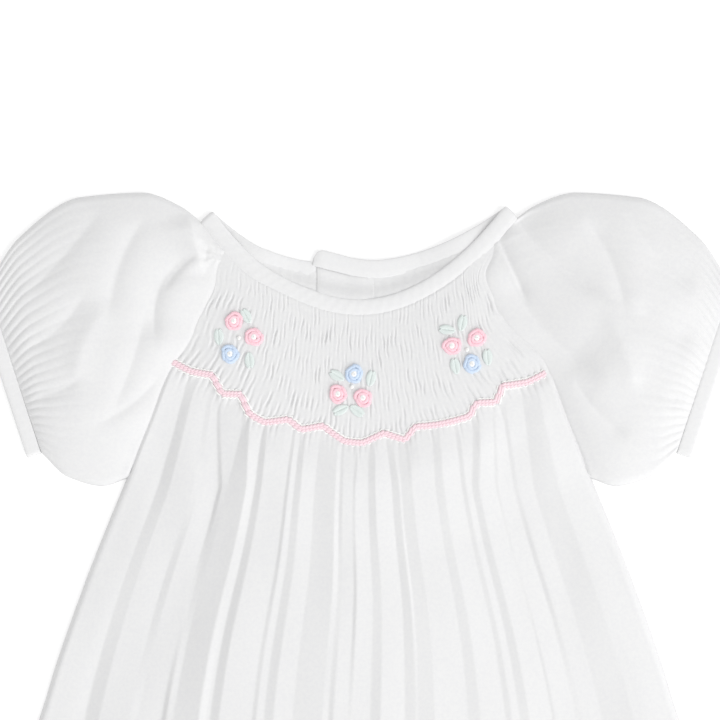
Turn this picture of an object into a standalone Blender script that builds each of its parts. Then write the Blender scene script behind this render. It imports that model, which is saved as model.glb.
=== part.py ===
# Smocked bubble romper for a baby, laid flat on its back.
#
# The garment lies on the plane z = 0 with its front up and its neck towards +Y.
# Sizes are in millimetres. While the pieces are shaped, y = 0 lies near the top of the neck opening.
# centre_on_origin then moves the origin to the middle of the garment's footprint.

import math
from bisect import bisect_right
from collections import namedtuple

import bmesh
import bpy
from mathutils import Vector

MM = 0.001

# Cloth, seams and layers
WALL = 1.3
SEAM = 0.3
LAYER = WALL + SEAM
FRONT_RIM = LAYER + WALL

# Neckband: one bias strip, its front arc lying over its back arc
BAND_WIDTH = 8.5
BAND_THICK = 1.6
BAND_TIP_X = 71.0
BAND_FRONT_MID_Y = -41.4
BAND_FRONT_BOW = 0.00878
BAND_BACK_MID_Y = -23.2
BAND_BACK_BOW = 0.005178
BAND_FRONT_Z = 3.1
BAND_FRONT_ARCH = 1.3
BAND_BACK_Z = BAND_THICK / 2
BAND_LAP_Z = BAND_BACK_Z + BAND_THICK + SEAM
BAND_CORNER = 0.4
LAP_UNDER_X = 2.0
LAP_OVER_X = -20.0
LAP_RISE_FROM_X = 30.0
LAP_RISE_TO_X = 3.0

# How far the overlapping end of the band lies above its arc
LapRaise = namedtuple("LapRaise", "x rise")
LAP_RAISES = (
    LapRaise(-20.0, 2.9),
    LapRaise(-11.0, 2.3),
    LapRaise(-2.0, 1.1),
    LapRaise(12.0, 0.0),
    LapRaise(30.0, 0.0),
)

# How far the left of the neckline has slipped down, all layers together
NeckDrop = namedtuple("NeckDrop", "x drop")
NECK_DROPS = (
    NeckDrop(-100.0, 0.0),
    NeckDrop(-85.0, 1.0),
    NeckDrop(-71.0, 2.4),
    NeckDrop(-60.0, 3.2),
    NeckDrop(-50.0, 3.4),
    NeckDrop(-40.0, 2.2),
    NeckDrop(-30.0, 1.0),
    NeckDrop(-22.0, 0.0),
)
NECK_DROP_FULL_Y = -20.0
NECK_DROP_END_Y = -46.0

# Smocking and gathers
PLEATS = 68
SMOCKING_ROWS = 11
PLEAT_RELIEF = 1.4
PLEAT_SWAY = 0.25
YOKE_INSIDE_STEPS = 24
PLACE_STEP = 0.00001
SKIRT_FOLDS = 28
SKIRT_FOLD_DEPTHS = (1.0, 0.6, 0.85, 0.45, 0.95, 0.7, 0.55)
WAVE = 0.6

# Side edge of the front, from the neck corner past the wave (0.6) and the underarm (1) to the leg (2)
EdgePoint = namedtuple("EdgePoint", "place x y")
LOWER_EDGE = (
    EdgePoint(0.41, 74.5, -51.0),
    EdgePoint(0.60, 88.4, -69.0),
    EdgePoint(0.80, 98.5, -94.0),
    EdgePoint(1.00, 110.0, -122.0),
    EdgePoint(1.25, 130.0, -172.0),
    EdgePoint(1.50, 147.0, -222.0),
    EdgePoint(1.75, 157.0, -264.0),
    EdgePoint(1.90, 153.0, -300.0),
    EdgePoint(2.00, 140.0, -328.0),
)
FRONT_EDGE = (
    EdgePoint(0.00, 64.4, -12.0),
    EdgePoint(0.13, 66.0, -24.0),
    EdgePoint(0.27, 68.5, -38.0),
) + LOWER_EDGE
BACK_EDGE = (
    EdgePoint(0.00, 64.6, -7.3),
    EdgePoint(0.13, 66.2, -20.0),
    EdgePoint(0.27, 68.6, -36.0),
) + LOWER_EDGE

# Rows of cloth across the front: the middle's y, the height of the edge over its rim, the rise of the
# middle over the edge, the height of the folds and how far the row has taken the shape of the leg line
FrontRow = namedtuple("FrontRow", "place mid_y lift crown fold leg")
FRONT_ROWS = (
    FrontRow(0.00, -46.0, 1.0, 1.4, 0.0, 0.00),
    FrontRow(0.30, -75.5, 2.6, 3.0, 0.0, 0.00),
    FrontRow(0.60, -105.0, 3.4, 4.2, 0.6, 0.00),
    FrontRow(0.66, -113.0, 3.3, 4.8, 1.6, 0.00),
    FrontRow(0.74, -124.0, 2.9, 5.8, 2.3, 0.00),
    FrontRow(0.85, -140.0, 1.8, 7.0, 2.6, 0.00),
    FrontRow(1.00, -163.0, 0.0, 8.6, 2.8, 0.00),
    FrontRow(1.20, -202.0, 0.0, 9.6, 2.8, 0.02),
    FrontRow(1.40, -248.0, 0.0, 10.0, 2.8, 0.10),
    FrontRow(1.60, -297.0, 0.0, 10.0, 2.8, 0.25),
    FrontRow(1.80, -346.0, 0.0, 8.5, 2.4, 0.55),
    FrontRow(1.92, -379.0, 0.0, 5.0, 1.6, 0.80),
    FrontRow(2.00, -398.0, 0.0, 0.6, 0.8, 1.00),
)
BackRow = namedtuple("BackRow", "place mid_y leg")
BACK_ROWS = (
    BackRow(0.00, -28.1, 0.00),
    BackRow(0.30, -62.0, 0.00),
    BackRow(0.60, -100.0, 0.00),
    BackRow(0.80, -131.0, 0.00),
    BackRow(1.00, -163.0, 0.00),
    BackRow(1.25, -212.0, 0.03),
    BackRow(1.50, -272.0, 0.15),
    BackRow(1.75, -334.0, 0.45),
    BackRow(1.88, -368.0, 0.70),
    BackRow(2.00, -398.0, 1.00),
)
BACK_STEPS = 7
BACK_ROW_STEPS = 24

# Leg line: how deep it lies below the side's end, as a share of the crotch's depth
LegPoint = namedtuple("LegPoint", "across share")
LEG_LINE = (
    LegPoint(0.00, 1.00),
    LegPoint(0.25, 1.00),
    LegPoint(0.49, 0.82),
    LegPoint(0.72, 0.55),
    LegPoint(0.90, 0.26),
    LegPoint(1.00, 0.00),
)
CROTCH_SHARE = 0.25

# Back placket, lying over the slit between the two backs
PLACKET_LEFT_X = -20.0
PLACKET_RIGHT_X = 3.0
PLACKET_END_Y = -160.0

# Sleeves: the fold over the shoulder and the fold under the arm, from the body (0) to the cuff (1)
FoldPoint = namedtuple("FoldPoint", "place x y")
SHOULDER_FOLD = (
    FoldPoint(0.00, 75.2, 0.9),
    FoldPoint(0.15, 84.0, 7.0),
    FoldPoint(0.35, 103.0, 13.0),
    FoldPoint(0.60, 132.0, 11.0),
    FoldPoint(0.85, 161.0, -8.0),
    FoldPoint(1.00, 176.0, -30.0),
)
UNDERARM_FOLD = (
    FoldPoint(0.00, 110.5, -122.0),
    FoldPoint(0.35, 122.0, -125.5),
    FoldPoint(0.70, 138.0, -121.0),
    FoldPoint(1.00, 150.0, -110.0),
)
SleeveRing = namedtuple("SleeveRing", "place puff fold")
SLEEVE_RINGS = (
    SleeveRing(0.00, 0.0, 0.5),
    SleeveRing(0.08, 2.0, 0.9),
    SleeveRing(0.18, 4.2, 1.2),
    SleeveRing(0.30, 6.2, 1.4),
    SleeveRing(0.45, 7.6, 1.4),
    SleeveRing(0.60, 8.0, 1.4),
    SleeveRing(0.74, 7.0, 1.3),
    SleeveRing(0.86, 5.0, 1.2),
    SleeveRing(0.95, 2.4, 1.0),
    SleeveRing(1.00, 0.5, 0.8),
)
SLEEVE_STEPS = 25
SLEEVE_NECK_STEPS = 3
SLEEVE_PLAIN_STEPS = 8
SLEEVE_ARMHOLE_END = 0.1
SLEEVE_NECK_FROM_X = 72.0
SLEEVE_NECK_TO_X = 61.0
SLEEVE_CLEARANCE = 0.4
SLEEVE_NECK_LIFT = 0.3

# Bindings of the cuffs and legs, and the crotch bands
BINDING_WIDTH = 7.0
BINDING_CROWN = 0.5
CROTCH_DEPTH = 12.0

# Embroidery: each spray has bullion roses and leaves, placed by hand round its knot
Rose = namedtuple("Rose", "name x y colour")
ROSES = (
    Rose("rose_left_1", -58.8, -47.5, "pink"),
    Rose("rose_left_2", -49.4, -55.0, "pink"),
    Rose("rose_left_3", -60.6, -63.0, "blue"),
    Rose("rose_middle_1", -2.3, -72.4, "blue"),
    Rose("rose_middle_2", -9.9, -81.8, "pink"),
    Rose("rose_middle_3", 1.9, -83.6, "pink"),
    Rose("rose_right_1", 43.7, -59.2, "pink"),
    Rose("rose_right_2", 55.4, -55.4, "pink"),
    Rose("rose_right_3", 53.1, -67.7, "blue"),
)
Leaf = namedtuple("Leaf", "name x y turn")
LEAVES = (
    Leaf("leaf_left_1", -52.0, -45.2, 118.0),
    Leaf("leaf_left_2", -66.0, -54.8, 94.0),
    Leaf("leaf_left_3", -51.4, -66.0, -84.0),
    Leaf("leaf_middle_1", -10.4, -73.2, 150.0),
    Leaf("leaf_middle_2", 5.6, -74.4, 76.0),
    Leaf("leaf_middle_3", -8.7, -89.2, 205.0),
    Leaf("leaf_middle_4", -0.9, -89.6, -35.0),
    Leaf("leaf_right_1", 48.6, -48.4, 79.0),
    Leaf("leaf_right_2", 41.4, -51.6, 172.0),
    Leaf("leaf_right_3", 60.4, -64.4, 95.0),
    Leaf("leaf_right_4", 45.2, -68.6, 100.0),
)
ROSE_RADIUS = 4.2
ROSE_SIDES = 12
LEAF_LENGTH = 7.6
LEAF_WIDTH = 3.6
LEAF_STEPS = 4
FLOSS_THICK = 1.2

COLOURS = {
    "batiste": (0.90, 0.90, 0.91, 1.0),
    "binding": (0.92, 0.92, 0.93, 1.0),
    "pink": (0.93, 0.52, 0.62, 1.0),
    "blue": (0.42, 0.58, 0.88, 1.0),
    "mint": (0.66, 0.83, 0.75, 1.0),
}


def clear_scene():
    for scene_object in list(bpy.data.objects):
        bpy.data.objects.remove(scene_object)


def material(name):
    surface = bpy.data.materials.get(name)
    if surface is None:
        surface = bpy.data.materials.new(name)
        surface.use_nodes = True
        shader = surface.node_tree.nodes["Principled BSDF"]
        shader.inputs["Base Color"].default_value = COLOURS[name]
        shader.inputs["Roughness"].default_value = 0.9
        shader.inputs["Metallic"].default_value = 0.0
    return surface


def blend(start, end, share):
    return start + (end - start) * share


def ease(start, end, value):
    """Runs smoothly from 0 at the start to 1 at the end."""
    share = min(max((value - start) / (end - start), 0.0), 1.0)
    return share * share * (3 - 2 * share)


def slope_at(rows, index, column):
    """Slope of a table's column at a row, with no overshoot between rows."""
    slopes = []
    for first in (index - 1, index):
        if 0 <= first < len(rows) - 1:
            run = rows[first + 1][0] - rows[first][0]
            slopes.append((rows[first + 1][column] - rows[first][column]) / run)
    if len(slopes) == 1:
        return slopes[0]
    before, after = slopes
    if before * after <= 0:
        return 0.0
    return 2 * before * after / (before + after)


def read_table(rows, place):
    """Reads a table between its rows, along a smooth curve through them."""
    places = [row[0] for row in rows]
    index = min(max(bisect_right(places, place) - 1, 0), len(rows) - 2)
    first, last = rows[index], rows[index + 1]
    run = last[0] - first[0]
    t = (place - first[0]) / run
    values = [place]
    for column in range(1, len(first)):
        start_slope = slope_at(rows, index, column) * run
        end_slope = slope_at(rows, index + 1, column) * run
        rise = last[column] - first[column]
        cubic = start_slope + end_slope - 2 * rise
        square = 3 * rise - 2 * start_slope - end_slope
        values.append(first[column] + t * (start_slope + t * (square + t * cubic)))
    return type(first)(*values)


def add_row(mesh, row):
    return [(place, mesh.verts.new(Vector(point) * MM)) for place, point in row]


def zip_rows(mesh, first, second):
    """Joins two rows of points by triangles, stepping along whichever row is behind."""
    i = 0
    j = 0
    while i < len(first) - 1 or j < len(second) - 1:
        second_done = j == len(second) - 1
        first_left = i < len(first) - 1
        if second_done or (first_left and first[i + 1][0] <= second[j + 1][0]):
            mesh.faces.new((first[i][1], first[i + 1][1], second[j][1]))
            i += 1
        else:
            mesh.faces.new((first[i][1], second[j + 1][1], second[j][1]))
            j += 1


def finish_body(mesh, name, colour):
    bmesh.ops.triangulate(mesh, faces=[face for face in mesh.faces if len(face.verts) > 3])
    bmesh.ops.recalc_face_normals(mesh, faces=mesh.faces)
    data = bpy.data.meshes.new(name)
    mesh.to_mesh(data)
    mesh.free()
    data.materials.append(material(colour))
    body = bpy.data.objects.new(name, data)
    bpy.context.collection.objects.link(body)
    return body


def panel(name, outer, inner, colour):
    """A wall between two stacks of rows, closed by a rim all round."""
    mesh = bmesh.new()
    outer_rows = [add_row(mesh, row) for row in outer]
    inner_rows = [add_row(mesh, row) for row in inner]
    for rows in (outer_rows, inner_rows):
        for first, second in zip(rows, rows[1:]):
            zip_rows(mesh, first, second)
    for end in (0, -1):
        zip_rows(mesh, outer_rows[end], inner_rows[end])
        outer_side = [(index, row[end][1]) for index, row in enumerate(outer_rows)]
        inner_side = [(index, row[end][1]) for index, row in enumerate(inner_rows)]
        zip_rows(mesh, outer_side, inner_side)
    return finish_body(mesh, name, colour)


def tube(name, outer, inner, colour):
    """A wall between two stacks of closed rings, open at both ends."""
    mesh = bmesh.new()
    stacks = []
    for rings in (outer, inner):
        stack = [add_row(mesh, ring) for ring in rings]
        for ring in stack:
            ring.append((1.0, ring[0][1]))
        for first, second in zip(stack, stack[1:]):
            zip_rows(mesh, first, second)
        stacks.append(stack)
    for end in (0, -1):
        zip_rows(mesh, stacks[0][end], stacks[1][end])
    return finish_body(mesh, name, colour)


def flat_ring(upper, lower):
    """A flattened ring from the points of its upper layer and, going back, of its lower one."""
    steps = [0.5 * index / (len(upper) - 1) for index in range(len(upper))]
    ring = list(zip(steps, upper))
    for index, point in enumerate(reversed(lower)):
        ring.append((0.5 + 0.5 * (index + 0.5) / len(lower), point))
    return ring


def row_point(edge, row, across):
    """Plan of a point on a row of the body, across running from -1 to 1."""
    bow = blend(1 - across ** 2, read_table(LEG_LINE, abs(across)).share, row.leg)
    return edge.x * across, blend(edge.y, row.mid_y, bow)


def front_point(place, across):
    """A point on the front's plain outer face, without pleats or folds."""
    edge = read_table(FRONT_EDGE, place)
    row = read_table(FRONT_ROWS, place)
    x, y = row_point(edge, row, across)
    return x, y, FRONT_RIM + row.lift + row.crown * (1 - across ** 4)


def front_height(x, y):
    """Height of the smocked yoke's ridges over a place in plan."""
    low = 0.0
    high = WAVE
    while high - low > PLACE_STEP:
        middle = (low + high) / 2
        across = x / read_table(FRONT_EDGE, middle).x
        if front_point(middle, across)[1] > y:
            low = middle
        else:
            high = middle
    across = x / read_table(FRONT_EDGE, low).x
    return front_point(low, across)[2] + PLEAT_RELIEF


def raised(point, height):
    return point[0], point[1], point[2] + height


def smocked_row(number):
    """A gathering row, its ridges drawn together in pairs that change from row to row."""
    place = WAVE * number / SMOCKING_ROWS
    points = []
    for column in range(2 * PLEATS + 1):
        across = column / PLEATS - 1
        is_ridge = column % 2 == 1
        if is_ridge:
            sway = 1 if (column // 2 + number) % 2 == 0 else -1
            across += sway * PLEAT_SWAY / PLEATS
        relief = PLEAT_RELIEF if is_ridge else 0.0
        points.append((across, raised(front_point(place, across), relief)))
    return points


def fold_places():
    """Where the skirt's ridges and valleys lie, unevenly spaced from side to side."""
    places = []
    for column in range(2 * SKIRT_FOLDS + 1):
        even = column / SKIRT_FOLDS - 1
        shift = 0.18 * math.sin(2.4 * column) * (1 - even ** 2)
        places.append(even + shift / SKIRT_FOLDS)
    return places


def folded_row(place, drop):
    """A row of the skirt, its ridges standing up from a plain row."""
    height = read_table(FRONT_ROWS, place).fold
    points = []
    for column, across in enumerate(fold_places()):
        depth = SKIRT_FOLD_DEPTHS[(column // 2) % len(SKIRT_FOLD_DEPTHS)]
        fade = 1 - across ** 6
        relief = height * depth * fade if column % 2 == 1 else 0.0
        points.append((across, raised(front_point(place, across), relief - drop)))
    return points


def plain_row(place, steps, drop):
    acrosses = [2 * step / steps - 1 for step in range(steps + 1)]
    return [(across, raised(front_point(place, across), -drop)) for across in acrosses]


def make_front():
    skirt_places = [row.place for row in FRONT_ROWS if row.place > WAVE]
    outer = [smocked_row(number) for number in range(SMOCKING_ROWS + 1)]
    outer += [folded_row(place, 0.0) for place in skirt_places]
    inner = [
        plain_row(WAVE * number / SMOCKING_ROWS, YOKE_INSIDE_STEPS, WALL)
        for number in range(SMOCKING_ROWS + 1)
    ]
    inner += [folded_row(place, WALL) for place in skirt_places]
    return panel("front", outer, inner, "batiste")


def make_back(name, side):
    """One of the two backs, flat on the surface from its raglan edge to the centre back."""
    faces = []
    for height in (WALL, 0.0):
        rows = []
        for number in range(BACK_ROW_STEPS + 1):
            place = BACK_ROWS[-1].place * number / BACK_ROW_STEPS
            row = read_table(BACK_ROWS, place)
            edge = read_table(BACK_EDGE, place)
            points = []
            for step in range(BACK_STEPS + 1):
                across = blend(1.0, SEAM / 2 / edge.x, step / BACK_STEPS)
                x, y = row_point(edge, row, across)
                points.append((step, (side * x, y, height)))
            rows.append(points)
        faces.append(rows)
    return panel(name, faces[0], faces[1], "batiste")


def make_placket():
    """The strip over the slit, sewn to the right back and lying on the left one."""
    edge = BACK_EDGE[0]
    top_row = BACK_ROWS[0]
    faces = []
    for height in (LAYER + WALL, LAYER):
        rows = []
        for share in (0.0, 0.5, 1.0):
            points = []
            for step in range(3):
                x = blend(PLACKET_LEFT_X, PLACKET_RIGHT_X, step / 2)
                top_y = row_point(edge, top_row, x / edge.x)[1]
                points.append((step, (x, blend(top_y, PLACKET_END_Y, share), height)))
            rows.append(points)
        faces.append(rows)
    return panel("back_placket", faces[0], faces[1], "batiste")


def band_plan(x, mid_y, bow, offset):
    """A place on one of the neckband's arcs, offset away from the neck."""
    slope = 2 * bow * x
    away = Vector((slope, -1.0)).normalized()
    return Vector((x, mid_y + bow * x * x)) + away * offset, away


def band_ring(centre, away, up):
    """The strip's section: a flat rectangle with its corners taken off."""
    half_width = BAND_WIDTH / 2
    half_thick = BAND_THICK / 2
    corner = BAND_CORNER
    ring = []
    for across, along in ((1, 1), (-1, 1), (-1, -1), (1, -1)):
        side = (across * half_width, along * (half_thick - corner))
        face = (across * (half_width - corner), along * half_thick)
        pair = (side, face) if across == along else (face, side)
        for out, rise in pair:
            ring.append(centre + away * out + up * rise)
    return ring


def back_band_stations(xs, side):
    """Stations along the back arc, where the strip lies face down."""
    stations = []
    for x in xs:
        plan, away = band_plan(x, BAND_BACK_MID_Y, BAND_BACK_BOW, 0.0)
        height = BAND_BACK_Z
        if side > 0 and x < LAP_RISE_FROM_X:
            height = blend(BAND_BACK_Z, BAND_LAP_Z, ease(LAP_RISE_FROM_X, LAP_RISE_TO_X, x))
            plan.y += read_table(LAP_RAISES, x).rise
        stations.append((plan.to_3d() + Vector((0, 0, height)), away.to_3d(), Vector((0, 0, -1))))
    return stations


def tip_stations(side):
    """Stations round the fold at one shoulder, from the front arc down to the back arc."""
    x = side * BAND_TIP_X
    front, front_away = band_plan(x, BAND_FRONT_MID_Y, BAND_FRONT_BOW, 0.0)
    back, back_away = band_plan(x, BAND_BACK_MID_Y, BAND_BACK_BOW, 0.0)
    radius = (BAND_FRONT_Z - BAND_BACK_Z) / 2
    stations = []
    for quarter in range(1, 6):
        angle = math.pi * quarter / 6
        share = quarter / 6
        away = front_away.lerp(back_away, share).normalized()
        outward = Vector((-away.y, away.x)) * side
        plan = front.lerp(back, share) + outward * radius * math.sin(angle)
        height = BAND_BACK_Z + radius * (1 + math.cos(angle))
        up = outward.to_3d() * math.sin(angle) + Vector((0, 0, math.cos(angle)))
        stations.append((plan.to_3d() + Vector((0, 0, height)), away.to_3d(), up))
    return stations


def front_band_stations():
    stations = []
    steps = 30
    for step in range(steps + 1):
        x = blend(-BAND_TIP_X, BAND_TIP_X, step / steps)
        plan, away = band_plan(x, BAND_FRONT_MID_Y, BAND_FRONT_BOW, 0.0)
        height = BAND_FRONT_Z + BAND_FRONT_ARCH * (1 - (x / BAND_TIP_X) ** 2)
        stations.append((plan.to_3d() + Vector((0, 0, height)), away.to_3d(), Vector((0, 0, 1))))
    return stations


def make_neckband():
    under_steps = 14
    over_steps = 20
    under = [blend(LAP_UNDER_X, -BAND_TIP_X, step / under_steps) for step in range(under_steps + 1)]
    over = [blend(BAND_TIP_X, LAP_OVER_X, step / over_steps) for step in range(over_steps + 1)]
    stations = back_band_stations(under, -1)
    stations += list(reversed(tip_stations(-1)))
    stations += front_band_stations()
    stations += tip_stations(1)
    stations += back_band_stations(over, 1)
    mesh = bmesh.new()
    rings = []
    for centre, away, up in stations:
        verts = [mesh.verts.new(point * MM) for point in band_ring(centre, away, up)]
        rings.append(verts)
    for first, second in zip(rings, rings[1:]):
        for index in range(len(first)):
            after = (index + 1) % len(first)
            mesh.faces.new((first[index], first[after], second[after], second[index]))
    mesh.faces.new(rings[0])
    mesh.faces.new(rings[-1])
    return finish_body(mesh, "neckband", "binding")


def armhole_point(edge_rows, mid_y, bow, share):
    """Plan of the sleeve's edge, from the shoulder along the neckband and down the raglan seam."""
    neck_share = SLEEVE_NECK_STEPS / SLEEVE_STEPS
    if share < neck_share:
        x = blend(SLEEVE_NECK_FROM_X, SLEEVE_NECK_TO_X, share / neck_share)
        return band_plan(x, mid_y, bow, BAND_WIDTH / 2 + SEAM)[0]
    place = (share - neck_share) / (1 - neck_share)
    step = 0.01
    here = read_table(edge_rows, place)
    ahead = read_table(edge_rows, place + step)
    away = Vector((here.y - ahead.y, ahead.x - here.x)).normalized()
    return Vector((here.x, here.y)) + away * SLEEVE_CLEARANCE


def sleeve_plan(place, share, armhole):
    """Plan of a point on the sleeve: straight between its folds, bowed near the armhole."""
    shoulder = read_table(SHOULDER_FOLD, place)
    underarm = read_table(UNDERARM_FOLD, place)
    top = Vector((shoulder.x, shoulder.y))
    bottom = Vector((underarm.x, underarm.y))
    seam_top = Vector((SHOULDER_FOLD[0].x, SHOULDER_FOLD[0].y))
    seam_bottom = Vector((UNDERARM_FOLD[0].x, UNDERARM_FOLD[0].y))
    bow = armhole - seam_top.lerp(seam_bottom, share)
    return top.lerp(bottom, share) + bow * (1 - place) ** 1.5


def sleeve_lift(share):
    """Height of the sleeve's edge over its rim, the same as the front's beside it."""
    neck_share = SLEEVE_NECK_STEPS / SLEEVE_STEPS
    if share < neck_share:
        return blend(SLEEVE_NECK_LIFT, FRONT_ROWS[0].lift, share / neck_share)
    return read_table(FRONT_ROWS, (share - neck_share) / (1 - neck_share)).lift


def sleeve_upper(ring, share, side):
    armhole = armhole_point(FRONT_EDGE, BAND_FRONT_MID_Y, BAND_FRONT_BOW, share)
    plan = sleeve_plan(ring.place, share, armhole)
    puff = ring.puff * (1 - abs(2 * share - 1) ** 3)
    height = FRONT_RIM + sleeve_lift(share) * (1 - ring.place) ** 2 + puff
    return side * plan.x, plan.y, height


def sleeve_lower(ring, share, side, height):
    armhole = armhole_point(BACK_EDGE, BAND_BACK_MID_Y, BAND_BACK_BOW, share)
    plan = sleeve_plan(ring.place, share, armhole)
    return side * plan.x, plan.y, height


def sleeve_ring(ring, side, inside):
    """One ring of the sleeve: its outer face has the folds, the other faces are plain."""
    inset = 0.0
    if inside:
        width = Vector(sleeve_upper(ring, 0.0, side)) - Vector(sleeve_upper(ring, 1.0, side))
        inset = WALL / width.length
    plain_steps = SLEEVE_STEPS if ring.place < SLEEVE_ARMHOLE_END else SLEEVE_PLAIN_STEPS
    upper_steps = plain_steps if inside else SLEEVE_STEPS
    upper = []
    for step in range(upper_steps + 1):
        share = blend(inset, 1 - inset, step / upper_steps)
        relief = ring.fold * math.sin(math.pi * share) ** 0.5 if step % 2 == 1 else 0.0
        upper.append(raised(sleeve_upper(ring, share, side), -WALL if inside else relief))
    lower = []
    for step in range(plain_steps + 1):
        share = blend(inset, 1 - inset, step / plain_steps)
        lower.append(sleeve_lower(ring, share, side, WALL if inside else 0.0))
    return flat_ring(upper, lower)


def make_sleeve(name, side):
    outer = [sleeve_ring(ring, side, False) for ring in SLEEVE_RINGS]
    inner = [sleeve_ring(ring, side, True) for ring in SLEEVE_RINGS]
    return tube(name, outer, inner, "batiste")


def binding_ring(path, side, offset, inside):
    """One ring of a flattened binding, at an offset from the edge that it holds."""
    steps = len(path) - 1
    length = sum((second - first).length for first, second in zip(path, path[1:]))
    inset = WALL / length if inside else 0.0
    upper = []
    lower = []
    for step in range(steps + 1):
        share = blend(inset, 1 - inset, step / steps)
        index = min(int(share * steps), steps - 1)
        plan = path[index].lerp(path[index + 1], share * steps - index)
        before = path[max(step - 1, 0)]
        after = path[min(step + 1, steps)]
        along = (after - before).normalized()
        plan = plan + Vector((-along.y, along.x)) * offset
        crown = BINDING_CROWN * (1 - abs(2 * share - 1) ** 3)
        top = FRONT_RIM + crown - (WALL if inside else 0.0)
        upper.append((side * plan.x, plan.y, top))
        lower.append((side * plan.x, plan.y, WALL if inside else 0.0))
    return flat_ring(upper, lower)


def make_binding(name, path, side):
    offsets = (SEAM, SEAM + BINDING_WIDTH / 2, SEAM + BINDING_WIDTH)
    outer = [binding_ring(path, side, offset, False) for offset in offsets]
    inner = [binding_ring(path, side, offset, True) for offset in offsets]
    return tube(name, outer, inner, "binding")


def cuff_path():
    steps = 12
    top = Vector(SHOULDER_FOLD[-1][1:])
    bottom = Vector(UNDERARM_FOLD[-1][1:])
    return [top.lerp(bottom, step / steps) for step in range(steps + 1)]


def leg_path():
    steps = 20
    edge = FRONT_EDGE[-1]
    row = FRONT_ROWS[-1]
    path = []
    for step in range(steps + 1):
        across = blend(1.0, CROTCH_SHARE, step / steps)
        path.append(Vector(row_point(edge, row, across)))
    return path


def make_crotch_band(name, height):
    """A plain strip along the crotch, between the leg bindings."""
    half = CROTCH_SHARE * FRONT_EDGE[-1].x - SEAM
    top_y = FRONT_ROWS[-1].mid_y - SEAM
    faces = []
    for z in (height + WALL, height):
        rows = []
        for depth in (0.0, CROTCH_DEPTH):
            rows.append([(step, (step * half, top_y - depth, z)) for step in (-1, 0, 1)])
        faces.append(rows)
    return panel(name, faces[0], faces[1], "binding")


def make_rose(rose):
    """A low dome on the ridges, with a dip in its middle."""
    mesh = bmesh.new()
    profile = ((1.0, 0.0), (1.0, 0.5), (0.62, 1.0), (0.25, 0.75))
    rings = []
    for radius_share, rise in profile:
        ring = []
        for side in range(ROSE_SIDES):
            angle = 2 * math.pi * side / ROSE_SIDES
            x = rose.x + radius_share * ROSE_RADIUS * math.cos(angle)
            y = rose.y + radius_share * ROSE_RADIUS * math.sin(angle)
            z = front_height(x, y) + SEAM + rise * FLOSS_THICK
            ring.append(mesh.verts.new(Vector((x, y, z)) * MM))
        rings.append(ring)
    for first, second in zip(rings, rings[1:]):
        for index in range(ROSE_SIDES):
            after = (index + 1) % ROSE_SIDES
            mesh.faces.new((first[index], first[after], second[after], second[index]))
    mesh.faces.new(rings[0])
    mesh.faces.new(rings[-1])
    return finish_body(mesh, rose.name, rose.colour)


def make_leaf(leaf):
    """A pointed leaf on the ridges, thickest along its middle."""
    turn = math.radians(leaf.turn)
    along = Vector((math.cos(turn), math.sin(turn)))
    across = Vector((-along.y, along.x))
    faces = []
    for top in (True, False):
        rows = []
        for step in range(LEAF_STEPS + 1):
            share = step / LEAF_STEPS
            half = max(0.3, LEAF_WIDTH / 2 * math.sin(math.pi * share))
            points = []
            for place in (-1, 0, 1):
                plan = Vector((leaf.x, leaf.y)) + along * LEAF_LENGTH * (share - 0.5)
                plan = plan + across * half * place
                rise = (0.9 if place == 0 else 0.5) * FLOSS_THICK if top else 0.0
                points.append((place, (plan.x, plan.y, front_height(*plan) + SEAM + rise)))
            rows.append(points)
        faces.append(rows)
    return panel(leaf.name, faces[0], faces[1], "mint")


def lower_neckline(bodies):
    """Lets the left of the neckline down by the same amount in every layer."""
    for body in bodies:
        for vertex in body.data.vertices:
            x, y, _ = vertex.co / MM
            if NECK_DROPS[0].x < x < NECK_DROPS[-1].x:
                drop = read_table(NECK_DROPS, x).drop * ease(NECK_DROP_END_Y, NECK_DROP_FULL_Y, y)
                vertex.co.y -= drop * MM


def centre_on_origin(bodies):
    """Moves the finished pieces so that the origin is the middle of their footprint."""
    corners = [vertex.co for body in bodies for vertex in body.data.vertices]
    middle_x = (min(corner.x for corner in corners) + max(corner.x for corner in corners)) / 2
    middle_y = (min(corner.y for corner in corners) + max(corner.y for corner in corners)) / 2
    for body in bodies:
        for vertex in body.data.vertices:
            vertex.co -= Vector((middle_x, middle_y, 0.0))


def main():
    clear_scene()
    bodies = [make_front(), make_placket(), make_neckband()]
    for word, side in (("left", -1), ("right", 1)):
        bodies.append(make_back("back_" + word, side))
        bodies.append(make_sleeve("sleeve_" + word, side))
        bodies.append(make_binding("cuff_" + word, cuff_path(), side))
        bodies.append(make_binding("leg_band_" + word, leg_path(), side))
    bodies.append(make_crotch_band("crotch_band_front", LAYER))
    bodies.append(make_crotch_band("crotch_band_back", 0.0))
    bodies += [make_rose(rose) for rose in ROSES]
    bodies += [make_leaf(leaf) for leaf in LEAVES]
    lower_neckline(bodies)
    centre_on_origin(bodies)


main()
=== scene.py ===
# Looks of the smocked bubble romper: batiste shells, smocking, bindings and embroidery.
#
# Shapes are worked out in millimetres from the garment's own sizes, with y = 0 near the top of the
# neck opening, as the part's source does. to_frame moves them to the frame, in metres.

import math
from collections import namedtuple

import bpy
import numpy as np
from mathutils import Matrix, Vector


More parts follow.
